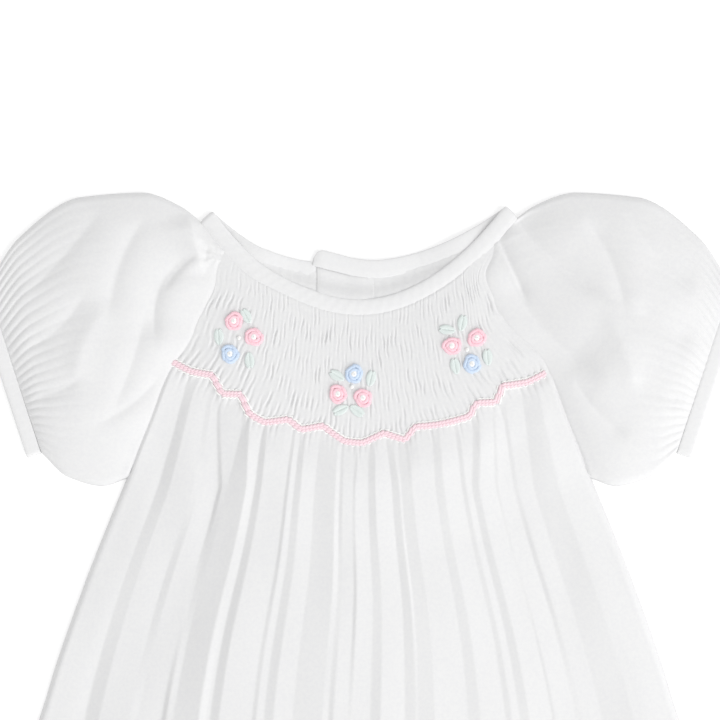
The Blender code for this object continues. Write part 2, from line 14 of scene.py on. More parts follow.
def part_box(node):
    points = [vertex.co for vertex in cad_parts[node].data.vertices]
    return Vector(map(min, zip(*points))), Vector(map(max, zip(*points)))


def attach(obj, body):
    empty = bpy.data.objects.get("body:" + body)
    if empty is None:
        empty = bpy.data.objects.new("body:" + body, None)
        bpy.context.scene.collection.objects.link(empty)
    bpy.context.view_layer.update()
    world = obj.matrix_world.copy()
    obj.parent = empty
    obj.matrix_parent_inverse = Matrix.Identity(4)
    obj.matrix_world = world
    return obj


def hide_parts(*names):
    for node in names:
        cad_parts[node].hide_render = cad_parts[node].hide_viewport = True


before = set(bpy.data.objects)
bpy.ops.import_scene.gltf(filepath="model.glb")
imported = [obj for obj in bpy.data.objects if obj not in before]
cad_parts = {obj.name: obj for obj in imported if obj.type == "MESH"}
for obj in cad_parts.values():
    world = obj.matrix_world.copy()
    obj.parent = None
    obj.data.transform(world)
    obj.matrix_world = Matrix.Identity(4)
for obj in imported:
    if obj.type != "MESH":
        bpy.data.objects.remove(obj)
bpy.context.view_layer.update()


def table(columns, *rows):
    """Rows with named columns."""
    kind = namedtuple("Row", columns)
    return tuple(kind(*row) for row in rows)


MM = 0.001
CROTCH_END_Y = -410.3
NECK_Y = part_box("crotch_band_back")[0][1] - CROTCH_END_Y * MM

# Layers of cloth
WALL = 1.3
LAYER = 1.6
FRONT_RIM = 2.9
FOLD_MIDDLE = 1.3
FOLD_ROLL = 3.2
CLOTH_LOW = 0.03

# Neckband: the arcs of its front and back in plan, its section, and its lap
Arc = namedtuple("Arc", "mid_y bow")
FRONT_ARC = Arc(-41.4, 0.00878)
BACK_ARC = Arc(-23.2, 0.005178)
BAND_WIDTH = 8.5
BAND_THICK = 1.6
BAND_CROWN = 1.05
BAND_TIP_X = 71.0
BAND_FRONT_Z = 3.1
BAND_FRONT_ARCH = 1.3
BAND_BACK_Z = 0.8
BAND_LAP_Z = 1.8
BAND_NEAR_LIFT = 2.0
BAND_NEAR_X = 48.0
BAND_NEAR_SPREAD = 12.0
BAND_LIFT_REACH = 9.0
LAP_UNDER_X = 2.0
LAP_OVER_X = -21.5
LAP_RISE_FROM_X = 30.0
LAP_RISE_TO_X = 3.0
LAP_CORNER = 5.0
LAP_BACK_SHARE = 0.35
LAP_BACK_X = (-7.0, 1.0)
BAND_SLIT = 0.1
BAND_PROFILE_STEPS = 28
BAND_UNDER_STATIONS = 70
BAND_FRONT_STATIONS = 170
BAND_OVER_STATIONS = 90
BAND_TIP_STATIONS = 12

# How far up from its arc in plan the overlapping end of the band lies
LAP_RAISES = table(
    "x rise",
    (-21.5, 4), (-11, 2.9), (-2, 1.3), (12, 0), (30, 0),
)

# How far the left of the neckline has slipped down, all layers together
NECK_DROPS = table(
    "x drop",
    (-100, 0), (-85, 1), (-71, 2.4), (-60, 3.2), (-50, 3.4), (-40, 2.2), (-30, 1), (-22, 0),
)
NECK_DROP_FULL_Y = -20.0
NECK_DROP_END_Y = -46.0

# How far the end of the band that lies beneath has slipped down from its arc
UNDER_DROPS = table(
    "x drop",
    (-71, 0), (-62, 0.9), (-52, 1.8), (-41, 2.5), (-30, 2.8), (-20, 2.9), (2, 2.9),
)

# How far the raglan seams have been pulled to the left, between which heights and places across, and how
# far both are drawn in round one height
SEAM_DRIFT = -4.0
SEAM_DRIFT_TOP_Y = (-11.0, -25.0)
SEAM_DRIFT_LOW_Y = (-46.0, -64.0)
SEAM_INNER_X = (46.0, 66.0)
SEAM_OUTER_X = (84.0, 110.0)
SEAM_DRAW = 2.6
SEAM_DRAW_Y = -28.0
SEAM_DRAW_SPREAD = 8.0

# Smocking
PLEATS = 68
PLEAT_COLUMNS = 7
SMOCKING_ROWS = 11
SMOCKING_ROW_STEPS = 7
SMOCKING_ROW_HEIGHT = 5.4
PLEAT_DEPTH = 0.5
PLEAT_ROUND = 0.06
PLEAT_WANDER = 0.25
PLEAT_SWAY = 0.16
PLEAT_SWAY_ROWS = 3.7
FINE_SWAY = 0.07
FINE_SWAY_ROWS = 1.5
SLIT_SPREAD = 0.18
SLIT_PERIODS = (2.5, 3.9)
SLIT_REACHES = (1.2, 5.5)
SLITS_MEET = (-6.5, -0.5)
LIP_RISE = 0.4
LIP_OFFSET = 0.36
LIP_SPREAD = 0.16
RIDGE_RISE = 0.2
CORNER_REACH = 14.0
SIDE_PLEATS_REACH = 20.0
NECK_DIP = 0.15

# Places down the body: 0 at the neck, 1 at the underarm, and those of the wave and the legs
WAVE = 0.6
LEG_PLACE = 2.0
LOWER_EDGE = table(
    "place x y",
    (0.41, 74.5, -51), (0.6, 88.4, -69), (0.8, 98.5, -94), (1, 110, -122), (1.25, 130, -172),
    (1.5, 147, -222), (1.75, 157, -264), (1.9, 153, -300), (2, 140, -328),
)
FRONT_EDGE = table(
    "place x y",
    (0, 64.4, -12), (0.13, 66, -24), (0.27, 68.5, -38),
) + LOWER_EDGE
BACK_EDGE = table(
    "place x y",
    (0, 64.6, -7.3), (0.13, 66.2, -20), (0.27, 68.6, -36),
) + LOWER_EDGE
FRONT_ROWS = table(
    "place mid_y lift crown leg",
    (0, -46, 1, 1.4, 0), (0.3, -75.5, 2.6, 3, 0), (0.6, -105, 3.4, 4.2, 0),
    (0.66, -113, 3.3, 4.8, 0), (0.74, -124, 2.9, 5.8, 0), (0.85, -140, 1.8, 7, 0),
    (1, -163, 0, 8.6, 0), (1.2, -202, 0, 9.6, 0.02), (1.4, -248, 0, 10, 0.1),
    (1.6, -297, 0, 10, 0.25), (1.8, -346, 0, 8.5, 0.55), (1.92, -379, 0, 5, 0.8),
    (2, -398, 0, 0.6, 1),
)
BACK_ROWS = table(
    "place mid_y leg",
    (0, -28.1, 0), (0.3, -62, 0), (0.6, -100, 0), (0.8, -131, 0), (1, -163, 0), (1.25, -212, 0.03),
    (1.5, -272, 0.15), (1.75, -334, 0.45), (1.88, -368, 0.7), (2, -398, 1),
)
LEG_LINE = table(
    "across share",
    (0, 1), (0.25, 1), (0.49, 0.82), (0.72, 0.55), (0.9, 0.26), (1, 0),
)
CROTCH_SHARE = 0.25

# The body's mesh, its side seams and its legs
SKIRT_STEPS = 105
BACK_ROW_COUNT = 120
BACK_COLUMN_COUNT = 90
BACK_MEETING_X = 0.15
SIDE_FOLD_FROM = (0.9, 1.02)
SIDE_SEAM_DIP = 0.08
SIDE_SEAM_REACH = 0.9
LEG_SPAN = 190.0
LEG_GATHERS = 23

# The pink wave: how high its turns rise over the smocking's lowest row
WAVE_TURNS = table(
    "x rise",
    (-88.4, 2), (-81, 3.6), (-73, 7.6), (-66, 3.4), (-58.5, 7.4), (-52, 1.4), (-44.5, 0.8),
    (-34.5, 6), (-28, 3), (-18, 7), (-7, 0.9), (1.5, 0.3), (12, 4.4), (21.5, -0.4), (27, 4.6),
    (38, 2.4), (52, 0.4), (56.5, 4.4), (64.5, 0.4), (69.5, 4.8), (79.5, -0.2), (88.4, -2),
)

# Lines between the facets of the skirt's folds: where each leaves the smocking and where it runs lower
# down, as a share of the half width, and how high it lies
FOLD_LINES = table(
    "top low height",
    (-1, -1, 1.4), (-0.908, -0.88, -2), (-0.87, -0.838, -1), (-0.802, -0.748, -2),
    (-0.78, -0.722, -1.9), (-0.757, -0.648, -2.5), (-0.743, -0.634, -1.8), (-0.6, -0.612, -1.5),
    (-0.575, -0.528, 1.1), (-0.52, -0.505, 0.1), (-0.508, -0.492, -0.3), (-0.48, -0.462, 1.1),
    (-0.352, -0.352, -0.2), (-0.335, -0.338, 0.4), (-0.31, -0.312, -0.1), (-0.285, -0.28, 0.8),
    (-0.205, -0.215, -0.2), (-0.11, -0.115, 1.2), (-0.092, -0.095, 0.7), (-0.08, -0.078, 1.1),
    (-0.01, -0.03, 0.8), (0, -0.018, 1.2), (0.05, 0.045, 0.3), (0.085, 0.08, 1.2),
    (0.14, 0.16, -0.4), (0.175, 0.195, 0.7), (0.2, 0.205, 0.5), (0.262, 0.258, 1.4),
    (0.385, 0.366, 0), (0.425, 0.405, 0.8), (0.505, 0.485, -0.6), (0.525, 0.505, 0),
    (0.6, 0.53, -0.5), (0.64, 0.56, 0.6), (0.706, 0.632, -0.6), (0.716, 0.641, -0.4),
    (0.748, 0.705, -1.4), (0.767, 0.722, -0.8), (0.855, 0.783, -1), (0.925, 0.875, 1.9),
    (1, 1, 2.2),
)
FOLD_LOW_Y = -125.0
FOLD_RAISE = 1.2
FOLD_WANDER = 0.012
FOLD_UNEVENNESS = 0.25
GROUND_WAVES = 7
CROWN_POWER = 4.0
SKIRT_CROWN_POWER = 2.0
SKIRT_CROWN_FROM = 0.78
Spots = namedtuple("Spots", "place across x y below from_side")

# Sleeves
SHOULDER_FOLD = table(
    "place x y",
    (0, 75.2, 0.9), (0.15, 84, 7), (0.35, 103, 13), (0.6, 132, 11), (0.85, 161, -8), (1, 176, -30),
)
UNDERARM_FOLD = table(
    "place x y",
    (0, 110.5, -122), (0.35, 122, -125.5), (0.7, 138, -121), (1, 150, -110),
)
SLEEVE_RINGS = table(
    "place puff",
    (0, 0), (0.08, 2), (0.18, 4.2), (0.3, 6.2), (0.45, 7.6), (0.6, 8), (0.74, 7), (0.86, 5),
    (0.95, 2.4), (1, 0.5),
)
SLEEVE_NECK_SHARE = 0.12
SLEEVE_NECK_FROM_X = 72.0
SLEEVE_NECK_TO_X = 61.0
SLEEVE_CLEARANCE = 0.1
SLEEVE_NECK_LIFT = 0.3
SLEEVE_NECK_TUCK = 0.4
SLEEVE_RISE = 0.6
SLEEVE_SPAN = 90.0
CUFF_SPAN = 88.0
SLEEVE_SEAM_DIP = 0.42
SLEEVE_HEM_OUT = 0.8
SLEEVE_HEM_DOWN = 0.28
SLEEVE_FLOOR = 0.04
SLEEVE_LOWER_ROLL = 2.0
CORNER_X = 66.5
CORNER_Y = -14.0
CORNER_PUCKERS = 9.0
CORNER_PUCKER_REACH = 7.0
SLEEVE_RING_COUNT = 110
SLEEVE_UPPER_COUNT = 220
SLEEVE_LOWER_COUNT = 60
CUFF_GATHERS = 24
CREASE_STEPS = 15
CREASE_SHARPNESS = 1.25
RIDGE_SHARPNESS = 1.6

# Creases of the sleeves: three points of each in plan, how far its two sides spread, seen along it, and
# its depth, which is negative on a ridge
LEFT_CREASES = table(
    "x1 y1 x2 y2 x3 y3 left right depth",
    (-71.5, -10, -93.5, -31, -94, -62, 4.8, 10, 3),
    (-73.5, -12.4, -84.5, -22.1, -92, -34.1, 1.5, 1.7, 0.8),
    (-82, 6, -77.2, -8.8, -74, -25, 3, 12, -2.3),
    (-71, -9.4, -71.9, -13.6, -72.9, -17.9, 1.2, 1.2, 0.9),
    (-74.7, -7.5, -73.3, -10.8, -71.9, -13.2, 1.1, 1.1, 0.6),
    (-98, 4, -112, -20, -118, -52, 5, 5, 1.6),
    (-100, -40, -106, -66, -118, -94, 6, 6, 1.5),
    (-92, -70, -106, -86, -128, -98, 4, 4, 1.2),
    (-120, 8, -136, -14, -158, -36, 5, 7, 1.4),
    (-126, -30, -140, -50, -160, -62, 7, 5, 1.4),
    (-128, -72, -140, -80, -156, -84, 4, 4, 1.2),
    (-112, -36, -128, -56, -134, -84, 6, 6, -1.2),
)
RIGHT_CREASES = table(
    "x1 y1 x2 y2 x3 y3 left right depth",
    (65, -12, 84.5, -48, 118, -76, 16, 9, 4.4),
    (61, 2, 71, -20, 80.5, -41, 2.6, 0.9, 1.5),
    (70, 8, 90, -17, 124, -42, 7.5, 4, 2.9),
    (104, 2, 118, -18, 126, -50, 5, 5, 1.6),
    (100, -72, 112, -90, 128, -103, 4, 4, 1.3),
    (124, 8, 140, -16, 160, -34, 7, 5, 1.4),
    (128, -36, 142, -50, 160, -58, 5, 7, 1.4),
    (126, -70, 140, -82, 156, -86, 4, 4, 1.2),
    (112, -40, 124, -60, 130, -86, 6, 6, -1.2),
)

# Bindings and crotch
BINDING_PROFILE = table(
    "offset depth",
    (0.2, 0.25), (0.6, 0.02), (1.4, 0), (3.6, -0.12), (5.6, 0), (6.7, 0.1), (7.15, 0.4),
    (7.3, 0.75), (7.1, 1.05), (6.2, 1.15), (3.6, 1.1), (0.3, 1.1),
)
BINDING_STEPS = 120
BINDING_CROWN = 0.5
BINDING_ROLL = 2.2
CROTCH_DEPTH = 12.0
CROTCH_GAP = 0.2
CROTCH_ROLL = 0.8

# Backs and placket
BACK_FRONT_LIFT = 2.95
BACK_FRONT_REACH = 5.0
SEAM_TUCK = 1.3
PLACKET_LEFT_X = -20.0
PLACKET_FAIR_X = 7.0
PLACKET_END_Y = -160.0
PLACKET_TUCK = 0.4
PLACKET_ROW_COUNT = 80
PLACKET_COLUMN_COUNT = 40
SEWN_X = -18.4
SEWN_FROM_Y = -30.6
SEWN_Z = 2.71
SEWN_LENGTH = 1.9
SEWN_STEP = 2.5
SEWN_STITCHES = 51

# Embroidery
ROSES = table(
    "name x y colour turn",
    ("rose_left_1", -58.8, -47.5, "pink", 20),
    ("rose_left_2", -49.4, -55, "pink", 75),
    ("rose_left_3", -60.6, -63, "blue", 140),
    ("rose_middle_1", -2.3, -72.4, "blue", 10),
    ("rose_middle_2", -9.9, -81.8, "pink", 55),
    ("rose_middle_3", 1.9, -83.6, "pink", 100),
    ("rose_right_1", 43.7, -59.2, "pink", 35),
    ("rose_right_2", 55.4, -55.4, "pink", 80),
    ("rose_right_3", 53.1, -67.7, "blue", 120),
)
LEAVES = table(
    "name x y turn",
    ("leaf_left_1", -53.2, -45, 118),
    ("leaf_left_2", -66, -54.8, 94),
    ("leaf_left_3", -51.4, -66, -84),
    ("leaf_middle_1", -10.4, -73.2, 150),
    ("leaf_middle_2", 5.6, -74.4, 76),
    ("leaf_middle_3", -8.7, -89.2, 205),
    ("leaf_middle_4", -0.9, -89.6, -35),
    ("leaf_right_1", 48.6, -48.4, 79),
    ("leaf_right_2", 41.4, -51.6, 172),
    ("leaf_right_3", 60.4, -64.4, 95),
    ("leaf_right_4", 45.2, -68.6, 100),
)
LEAF_LENGTH = 7.6
LEAF_WIDTH = 3.6
LEAF_STITCHES = 10
LEAF_STITCH_RADIUS = 0.55
PETAL_RINGS = table(
    "count inner outer turn apart sweep height arch wraps",
    (5, 3.1, 3.75, 0.0, 1.2566, 1.62, 0.3, 0.4, 9.0),
    (3, 1.75, 2.1, 0.5, 2.0944, 2.4, 0.7, 0.3, 7.0),
)
PETAL_RADIUS = 0.9
PETAL_RIDGE = 0.08
WAVE_STITCHES = 104
WAVE_STITCHED_X = 87.6
WAVE_ROWS = table(
    "name colour slot offsets slant overlap sunk arch radius sides",
    ("wave_upper", "pale_pink", "floss_pink", (0.58,), 0.4, 0.35, 0.35, 0.35, 0.78, 7),
    ("wave_lower", "pale_pink", "floss_pink", (-0.58,), 0.4, 0.35, 0.35, 0.35, 0.78, 7),
    ("wave_edging", "white", "binding", (1.8, -1.8), 0.4, 0.25, 0.45, 0.12, 0.4, 6),
)
KNOTS = table(
    "x y",
    (-56.4, -55.5), (-3.3, -78.5), (50.8, -61.1),
)

# Flosses: shades as a screen shows them, from 0 to 255
FLOSSES = table(
    "colour name dark light",
    ("white", "white_thread", (240, 240, 238), (248, 248, 246)),
    ("pink", "pink_floss", (240, 190, 202), (247, 213, 221)),
    ("pale_pink", "pale_pink_floss", (235, 203, 211), (241, 219, 225)),
    ("blue", "blue_floss", (186, 205, 230), (210, 223, 239)),
    ("mint", "mint_floss", (212, 221, 218), (222, 229, 227)),
)

# Sizes of the patterns in the cloth and floss, in metres
SLUB_SIZE = 0.0016
WRINKLE_SIZE = 0.009
WRINKLE_HEIGHT = 0.0011
THREAD_HEIGHT = 0.00006
STRAND_SIZE = 0.0004
STRAND_HEIGHT = 0.00008

# Floor, lamp and camera: in metres, watts, pixels of the photo, and millimetres for lens and sensor
FLOOR_HALF = 3.0
FLOOR_GAP = 0.0002
KEY_PLACE = (2.9, -2.0, 3.1)
KEY_AIM = (0.0, 0.1, 0.0)
KEY_SIZE = 4.6
KEY_POWER = 150.0
PICTURE = 720
PIXEL = 0.00047
NECK_PIXEL = (359, 220)
CLOTH_MIDDLE_Z = 0.008
LENS = 100.0
SENSOR = 36.0


def blend(start, end, share):
    return start + (end - start) * share


def smoothstep(start, end, value):
    share = np.clip((value - start) / (end - start), 0.0, 1.0)
    return share * share * (3 - 2 * share)


def hump(distance, reach):
    """A smooth hump of height 1 round a place."""
    return np.exp(-(distance / reach) ** 2)


def rolled(distance, radius):
    """Share of its full height that cloth has near an edge or fold where it rolls down."""
    return np.sqrt(1 - (1 - np.clip(distance / radius, 0.0, 1.0)) ** 2)


def crown(share):
    """A flat-topped rise between two ends, at shares 0 and 1."""
    return 1 - np.abs(2 * share - 1) ** 3


def sharp_waves(turns):
    """Gathers: rounded tops parted by sharp valleys, one to a turn."""
    return np.abs(np.sin(np.pi * turns)) ** 0.8


def swing(turns):
    """Sine of an angle in whole turns."""
    return np.sin(2 * np.pi * turns)


def shares(count):
    return np.linspace(0.0, 1.0, count)


def grid_shares(rows, columns):
    """Shares from 0 to 1 down the rows of a sheet and across its columns."""
    return np.meshgrid(shares(rows), shares(columns), indexing="ij")


def joined(*coordinates):
    """Points or directions from their coordinates."""
    return np.stack(coordinates, axis=-1)


def unit(vectors):
    """Directions of vectors, and zero for those of no length."""
    return vectors / np.maximum(np.linalg.norm(vectors, axis=-1, keepdims=True), 1e-6)


def lengths_along(points):
    return np.concatenate([[0.0], np.cumsum(np.linalg.norm(np.diff(points, axis=0), axis=1))])


def to_frame(points):
    """Design millimetres to the frame's metres, with the left of the neckline let down."""
    points = np.array(points, float)
    x = np.clip(points[:, 0], NECK_DROPS[0].x, NECK_DROPS[-1].x)
    points[:, 1] -= neck_drop(x).drop * smoothstep(NECK_DROP_END_Y, NECK_DROP_FULL_Y, points[:, 1])
    return points * MM + np.array((0.0, NECK_Y, 0.0))


def drifted(x, y):
    """Places across with the raglan seams pulled to the left, and their upper parts drawn together."""
    height = smoothstep(*SEAM_DRIFT_TOP_Y, y) * (1 - smoothstep(*SEAM_DRIFT_LOW_Y, y))
    near_seam = smoothstep(*SEAM_INNER_X, np.abs(x)) * (1 - smoothstep(*SEAM_OUTER_X, np.abs(x)))
    draw = SEAM_DRAW * np.sign(x) * hump(y - SEAM_DRAW_Y, SEAM_DRAW_SPREAD)
    return x + (SEAM_DRIFT * height - draw) * near_seam


def curve(rows):
    """A smooth curve through a table's rows, which returns named columns at any places."""
    values = np.array([tuple(row) for row in rows], float)
    places, values = values[:, 0], values[:, 1:]
    run = np.diff(places)[:, None]
    slope = np.diff(values, axis=0) / run
    product = slope[:-1] * slope[1:]
    total = slope[:-1] + slope[1:]
    inner = 2 * np.maximum(product, 0.0) / np.where(product > 0, total, 1.0)
    tangents = np.vstack([slope[:1], inner, slope[-1:]])

    def read(place):
        place = np.asarray(place, float)
        index = np.clip(np.searchsorted(places, place, side="right") - 1, 0, len(places) - 2)
        width = run[index]
        t = (place - places[index])[..., None] / width
        start, end = values[index], values[index + 1]
        first, last = tangents[index] * width, tangents[index + 1] * width
        rise = end - start
        cubic = first + last - 2 * rise
        square = 3 * rise - 2 * first - last
        result = start + t * (first + t * (square + t * cubic))
        return type(rows[0])(place, *np.moveaxis(result, -1, 0))

    return read


front_edge = curve(FRONT_EDGE)
back_edge = curve(BACK_EDGE)
front_row = curve(FRONT_ROWS)
back_row = curve(BACK_ROWS)
leg_line = curve(LEG_LINE)
shoulder_fold = curve(SHOULDER_FOLD)
underarm_fold = curve(UNDERARM_FOLD)
sleeve_puff = curve(SLEEVE_RINGS)
neck_drop = curve(NECK_DROPS)
under_drop = curve(UNDER_DROPS)
lap_raise = curve(LAP_RAISES)


# Materials

def linear(colour):
    """A shader's colour for a light one that is given as a screen shows it, from 0 to 255."""
    return (*(((value / 255 + 0.055) / 1.055) ** 2.4 for value in colour), 1.0)


def set_inputs(surface, node, inputs):
    """Links a node's inputs to the sockets given for them, and sets the others to their values."""
    for name, value in inputs.items():
        if isinstance(value, bpy.types.NodeSocket):
            surface.node_tree.links.new(value, node.inputs[name])
        else:
            node.inputs[name].default_value = value


def add_node(surface, kind, inputs):
    node = surface.node_tree.nodes.new(kind)
    set_inputs(surface, node, inputs)
    return node


def new_material(name, inputs):
    surface = bpy.data.materials.new(name)
    surface.use_nodes = True
    set_shader(surface, inputs)
    return surface


def set_shader(surface, inputs):
    set_inputs(surface, surface.node_tree.nodes["Principled BSDF"], inputs)


def cotton(name, colour, roughness, sheen):
    return new_material(name, {
        "Base Color": linear(colour),
        "Roughness": roughness,
        "Specular IOR Level": 0.25,
        "Sheen Weight": sheen,
        "Sheen Roughness": 0.5,
    })


def mapped(surface, turn):
    """Object coordinates, turned about Z."""
    place = add_node(surface, "ShaderNodeTexCoord", {})
    mapping = add_node(surface, "ShaderNodeMapping", {
        "Rotation": (0.0, 0.0, math.radians(turn)),
        "Vector": place.outputs["Object"],
    })
    return mapping.outputs["Vector"]


def threads_pattern(surface, vector, direction, period):
    """Parallel threads, one to a period, in metres."""
    wave = add_node(surface, "ShaderNodeTexWave", {
        "Scale": math.pi / 10 / period,
        "Distortion": 0.6,
        "Detail": 1.0,
        "Detail Scale": 0.4,
        "Vector": vector,
    })
    wave.wave_type = "BANDS"
    wave.bands_direction = direction
    return wave.outputs["Fac"]


def noise_pattern(surface, vector, size, detail):
    """Uneven spots of about a size, in metres."""
    noise = add_node(surface, "ShaderNodeTexNoise", {
        "Scale": 1.0 / size,
        "Detail": detail,
        "Roughness": 0.55,
        "Vector": vector,
    })
    return noise.outputs["Fac"]


def add_bump(surface, height, distance, strength, before=None):
    inputs = {"Distance": distance, "Strength": strength, "Height": height}
    if before is not None:
        inputs["Normal"] = before
    return add_node(surface, "ShaderNodeBump", inputs).outputs["Normal"]


def vary_colour(surface, pattern, dark, light, low, high):
    """Runs the base colour between two shades along a pattern."""
    ramp = add_node(surface, "ShaderNodeValToRGB", {"Fac": pattern})
    for element, position, colour in zip(ramp.color_ramp.elements, (low, high), (dark, light)):
        element.position = position
        element.color = linear(colour)
    set_shader(surface, {"Base Color": ramp.outputs["Color"]})


def cloth_material(name, dark, light, turn, period, wrinkle):
    """Plain-woven cotton: crossing threads, slubs and faint wrinkles."""
    surface = cotton(name, light, 0.88, 0.12)
    vector = mapped(surface, turn)
    slubs = noise_pattern(surface, vector, SLUB_SIZE, 3.0)
    vary_colour(surface, slubs, dark, light, 0.35, 0.62)
    wrinkles = noise_pattern(surface, vector, WRINKLE_SIZE, 4.0)
    normal = add_bump(surface, wrinkles, WRINKLE_HEIGHT, wrinkle)
    for direction in ("X", "Y"):
        threads = threads_pattern(surface, vector, direction, period)
        normal = add_bump(surface, threads, THREAD_HEIGHT, 0.5, normal)
    set_shader(surface, {"Normal": normal})
    return surface


def floss_material(name, dark, light):
    """Stranded cotton floss: soft sheen and fine strands."""
    surface = cotton(name, light, 0.62, 0.35)
    strands = noise_pattern(surface, mapped(surface, 35.0), STRAND_SIZE, 2.0)
    vary_colour(surface, strands, dark, light, 0.3, 0.65)
    set_shader(surface, {"Normal": add_bump(surface, strands, STRAND_HEIGHT, 0.5)})
    return surface


def make_materials():
    batiste = cloth_material("cotton_batiste", (222, 222, 223), (225, 225, 225), 0.0, 0.00038, 0.05)
    binding = cloth_material("bias_binding", (225, 225, 226), (227, 227, 227), 45.0, 0.00042, 0.03)
    surfaces = {"batiste": batiste, "binding": binding}
    for floss in FLOSSES:
        surfaces[floss.colour] = floss_material(floss.name, floss.dark, floss.light)
    return surfaces


# Meshes

def new_object(name, data):
    thing = bpy.data.objects.new(name, data)
    bpy.context.collection.objects.link(thing)
    return thing


def mesh_object(name, points, faces, surface):
    data = bpy.data.meshes.new(name)
    data.from_pydata(points.tolist(), [], faces.tolist())
    data.materials.append(surface)
    data.shade_smooth()
    data.update()
    return new_object(name, data)


def grid_faces(rows, columns, closed=False, offset=0):
    """Quads between the points of a grid, wrapped across its columns if it is closed."""
    across = columns if closed else columns - 1
    row, column = np.meshgrid(np.arange(rows - 1), np.arange(across), indexing="ij")
    after = (column + 1) % columns
    here, below = row * columns, (row + 1) * columns
    quads = joined(here + column, below + column, below + after, here + after)
    return quads.reshape(-1, 4) + offset


def make_shell(name, points, surface, closed=False, flip=False):
    """The sheet that shows of one cut piece, from a grid of points in millimetres, rows first."""
    rows, columns = points.shape[:2]
    faces = grid_faces(rows, columns, closed)
    if flip:
        faces = faces[:, ::-1]
    piece = mesh_object(name + "_shell", to_frame(points.reshape(-1, 3)), faces, surface)
    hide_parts(name)
    return piece


def edge_step(edge, inner, down, out):
    """A line of points beside a sheet's edge, out from it and lower."""
    away = edge - inner
    away[..., 2] = 0.0
    moved = edge + unit(away) * out
    moved[..., 2] = np.maximum(edge[..., 2] - down, CLOTH_LOW)
    return moved


def turned_edge(points, steps, side_out=1.0):
    """Adds a border round a sheet that turns down, out beneath what it is sewn to.

    side_out scales how far out the borders of the sides go, for each row, and is negative where a
    free edge tucks under itself.
    """
    side_out = np.broadcast_to(np.asarray(side_out, float), points.shape[:1])
    side_out = np.pad(side_out, len(steps), mode="edge")[:, None, None]
    above = [edge_step(points[:1], points[1:2], down, out) for down, out in steps]
    below = [edge_step(points[-1:], points[-2:-1], down, out) for down, out in steps]
    tall = np.concatenate(above[::-1] + [points] + below, axis=0)
    before = [edge_step(tall[:, :1], tall[:, 1:2], down, out * side_out) for down, out in steps]
    after = [edge_step(tall[:, -1:], tall[:, -2:-1], down, out * side_out) for down, out in steps]
    return np.concatenate(before[::-1] + [tall] + after, axis=1)


class Threads:
    """Collects tubes of floss and thread, to be joined into one mesh."""

    def __init__(self):
        self.points = []
        self.faces = []
        self.count = 0

    def add_tube(self, line, radius, sides=8, wraps=0.0, ridge=0.0):
        """A tube along a line of points, its ends drawn in, with a spiral ridge if it is wrapped."""
        line = np.asarray(line, float)
        along = unit(np.gradient(line, axis=0))
        side = unit(np.cross(along, (0.0, 0.0, 1.0)))
        up = np.cross(side, along)
        share = shares(len(line))
        taper = np.clip(np.sin(np.pi * np.clip(share, 0.02, 0.98)) * 4.0, 0.0, 1.0) ** 0.5
        angle = np.linspace(0.0, 2 * np.pi, sides, endpoint=False)
        spiral = 1 + ridge * np.cos(angle[None, :] - 2 * np.pi * wraps * share[:, None])
        size = (radius * taper)[:, None] * spiral
        across, rise = np.cos(angle)[None, :, None], np.sin(angle)[None, :, None]
        circle = across * side[:, None] + rise * up[:, None]
        grid = line[:, None, :] + circle * size[..., None]
        self.points.append(grid.reshape(-1, 3))
        self.faces.append(grid_faces(len(line), sides, True, self.count))
        self.count += len(line) * sides

    def finish(self, name, surface, slot):
        points = to_frame(np.concatenate(self.points))
        piece = mesh_object(name, points, np.concatenate(self.faces), surface)
        return piece


def stitch(start, end, rise, steps=6):
    """A line between two points that rises in its middle."""
    share = shares(steps)[:, None]
    line = blend(np.array(start), np.array(end), share)
    line[:, 2] += rise * np.sin(np.pi * share[:, 0])
    return line


# The body

def body_plan(edge, row, across):
    leg = leg_line(np.abs(across)).share
    bow = blend(1 - across ** 2, leg, row.leg)
    return edge.x * across, blend(edge.y, row.mid_y, bow)


def front_plain(place, across):
    """Points of the front without pleats or folds."""
    row = front_row(place)
    x, y = body_plan(front_edge(place), row, across)
    power = blend(CROWN_POWER, SKIRT_CROWN_POWER, smoothstep(WAVE, SKIRT_CROWN_FROM, place))
    return x, y, FRONT_RIM + row.lift + row.crown * (1 - np.abs(across) ** power)


def wave_y(across):
    """Height in plan of the pink wave at a share of the width."""
    x, y, _ = front_plain(np.full_like(across, WAVE), across)
    turns = np.array(WAVE_TURNS)
    return y + np.interp(x, turns[:, 0], turns[:, 1])


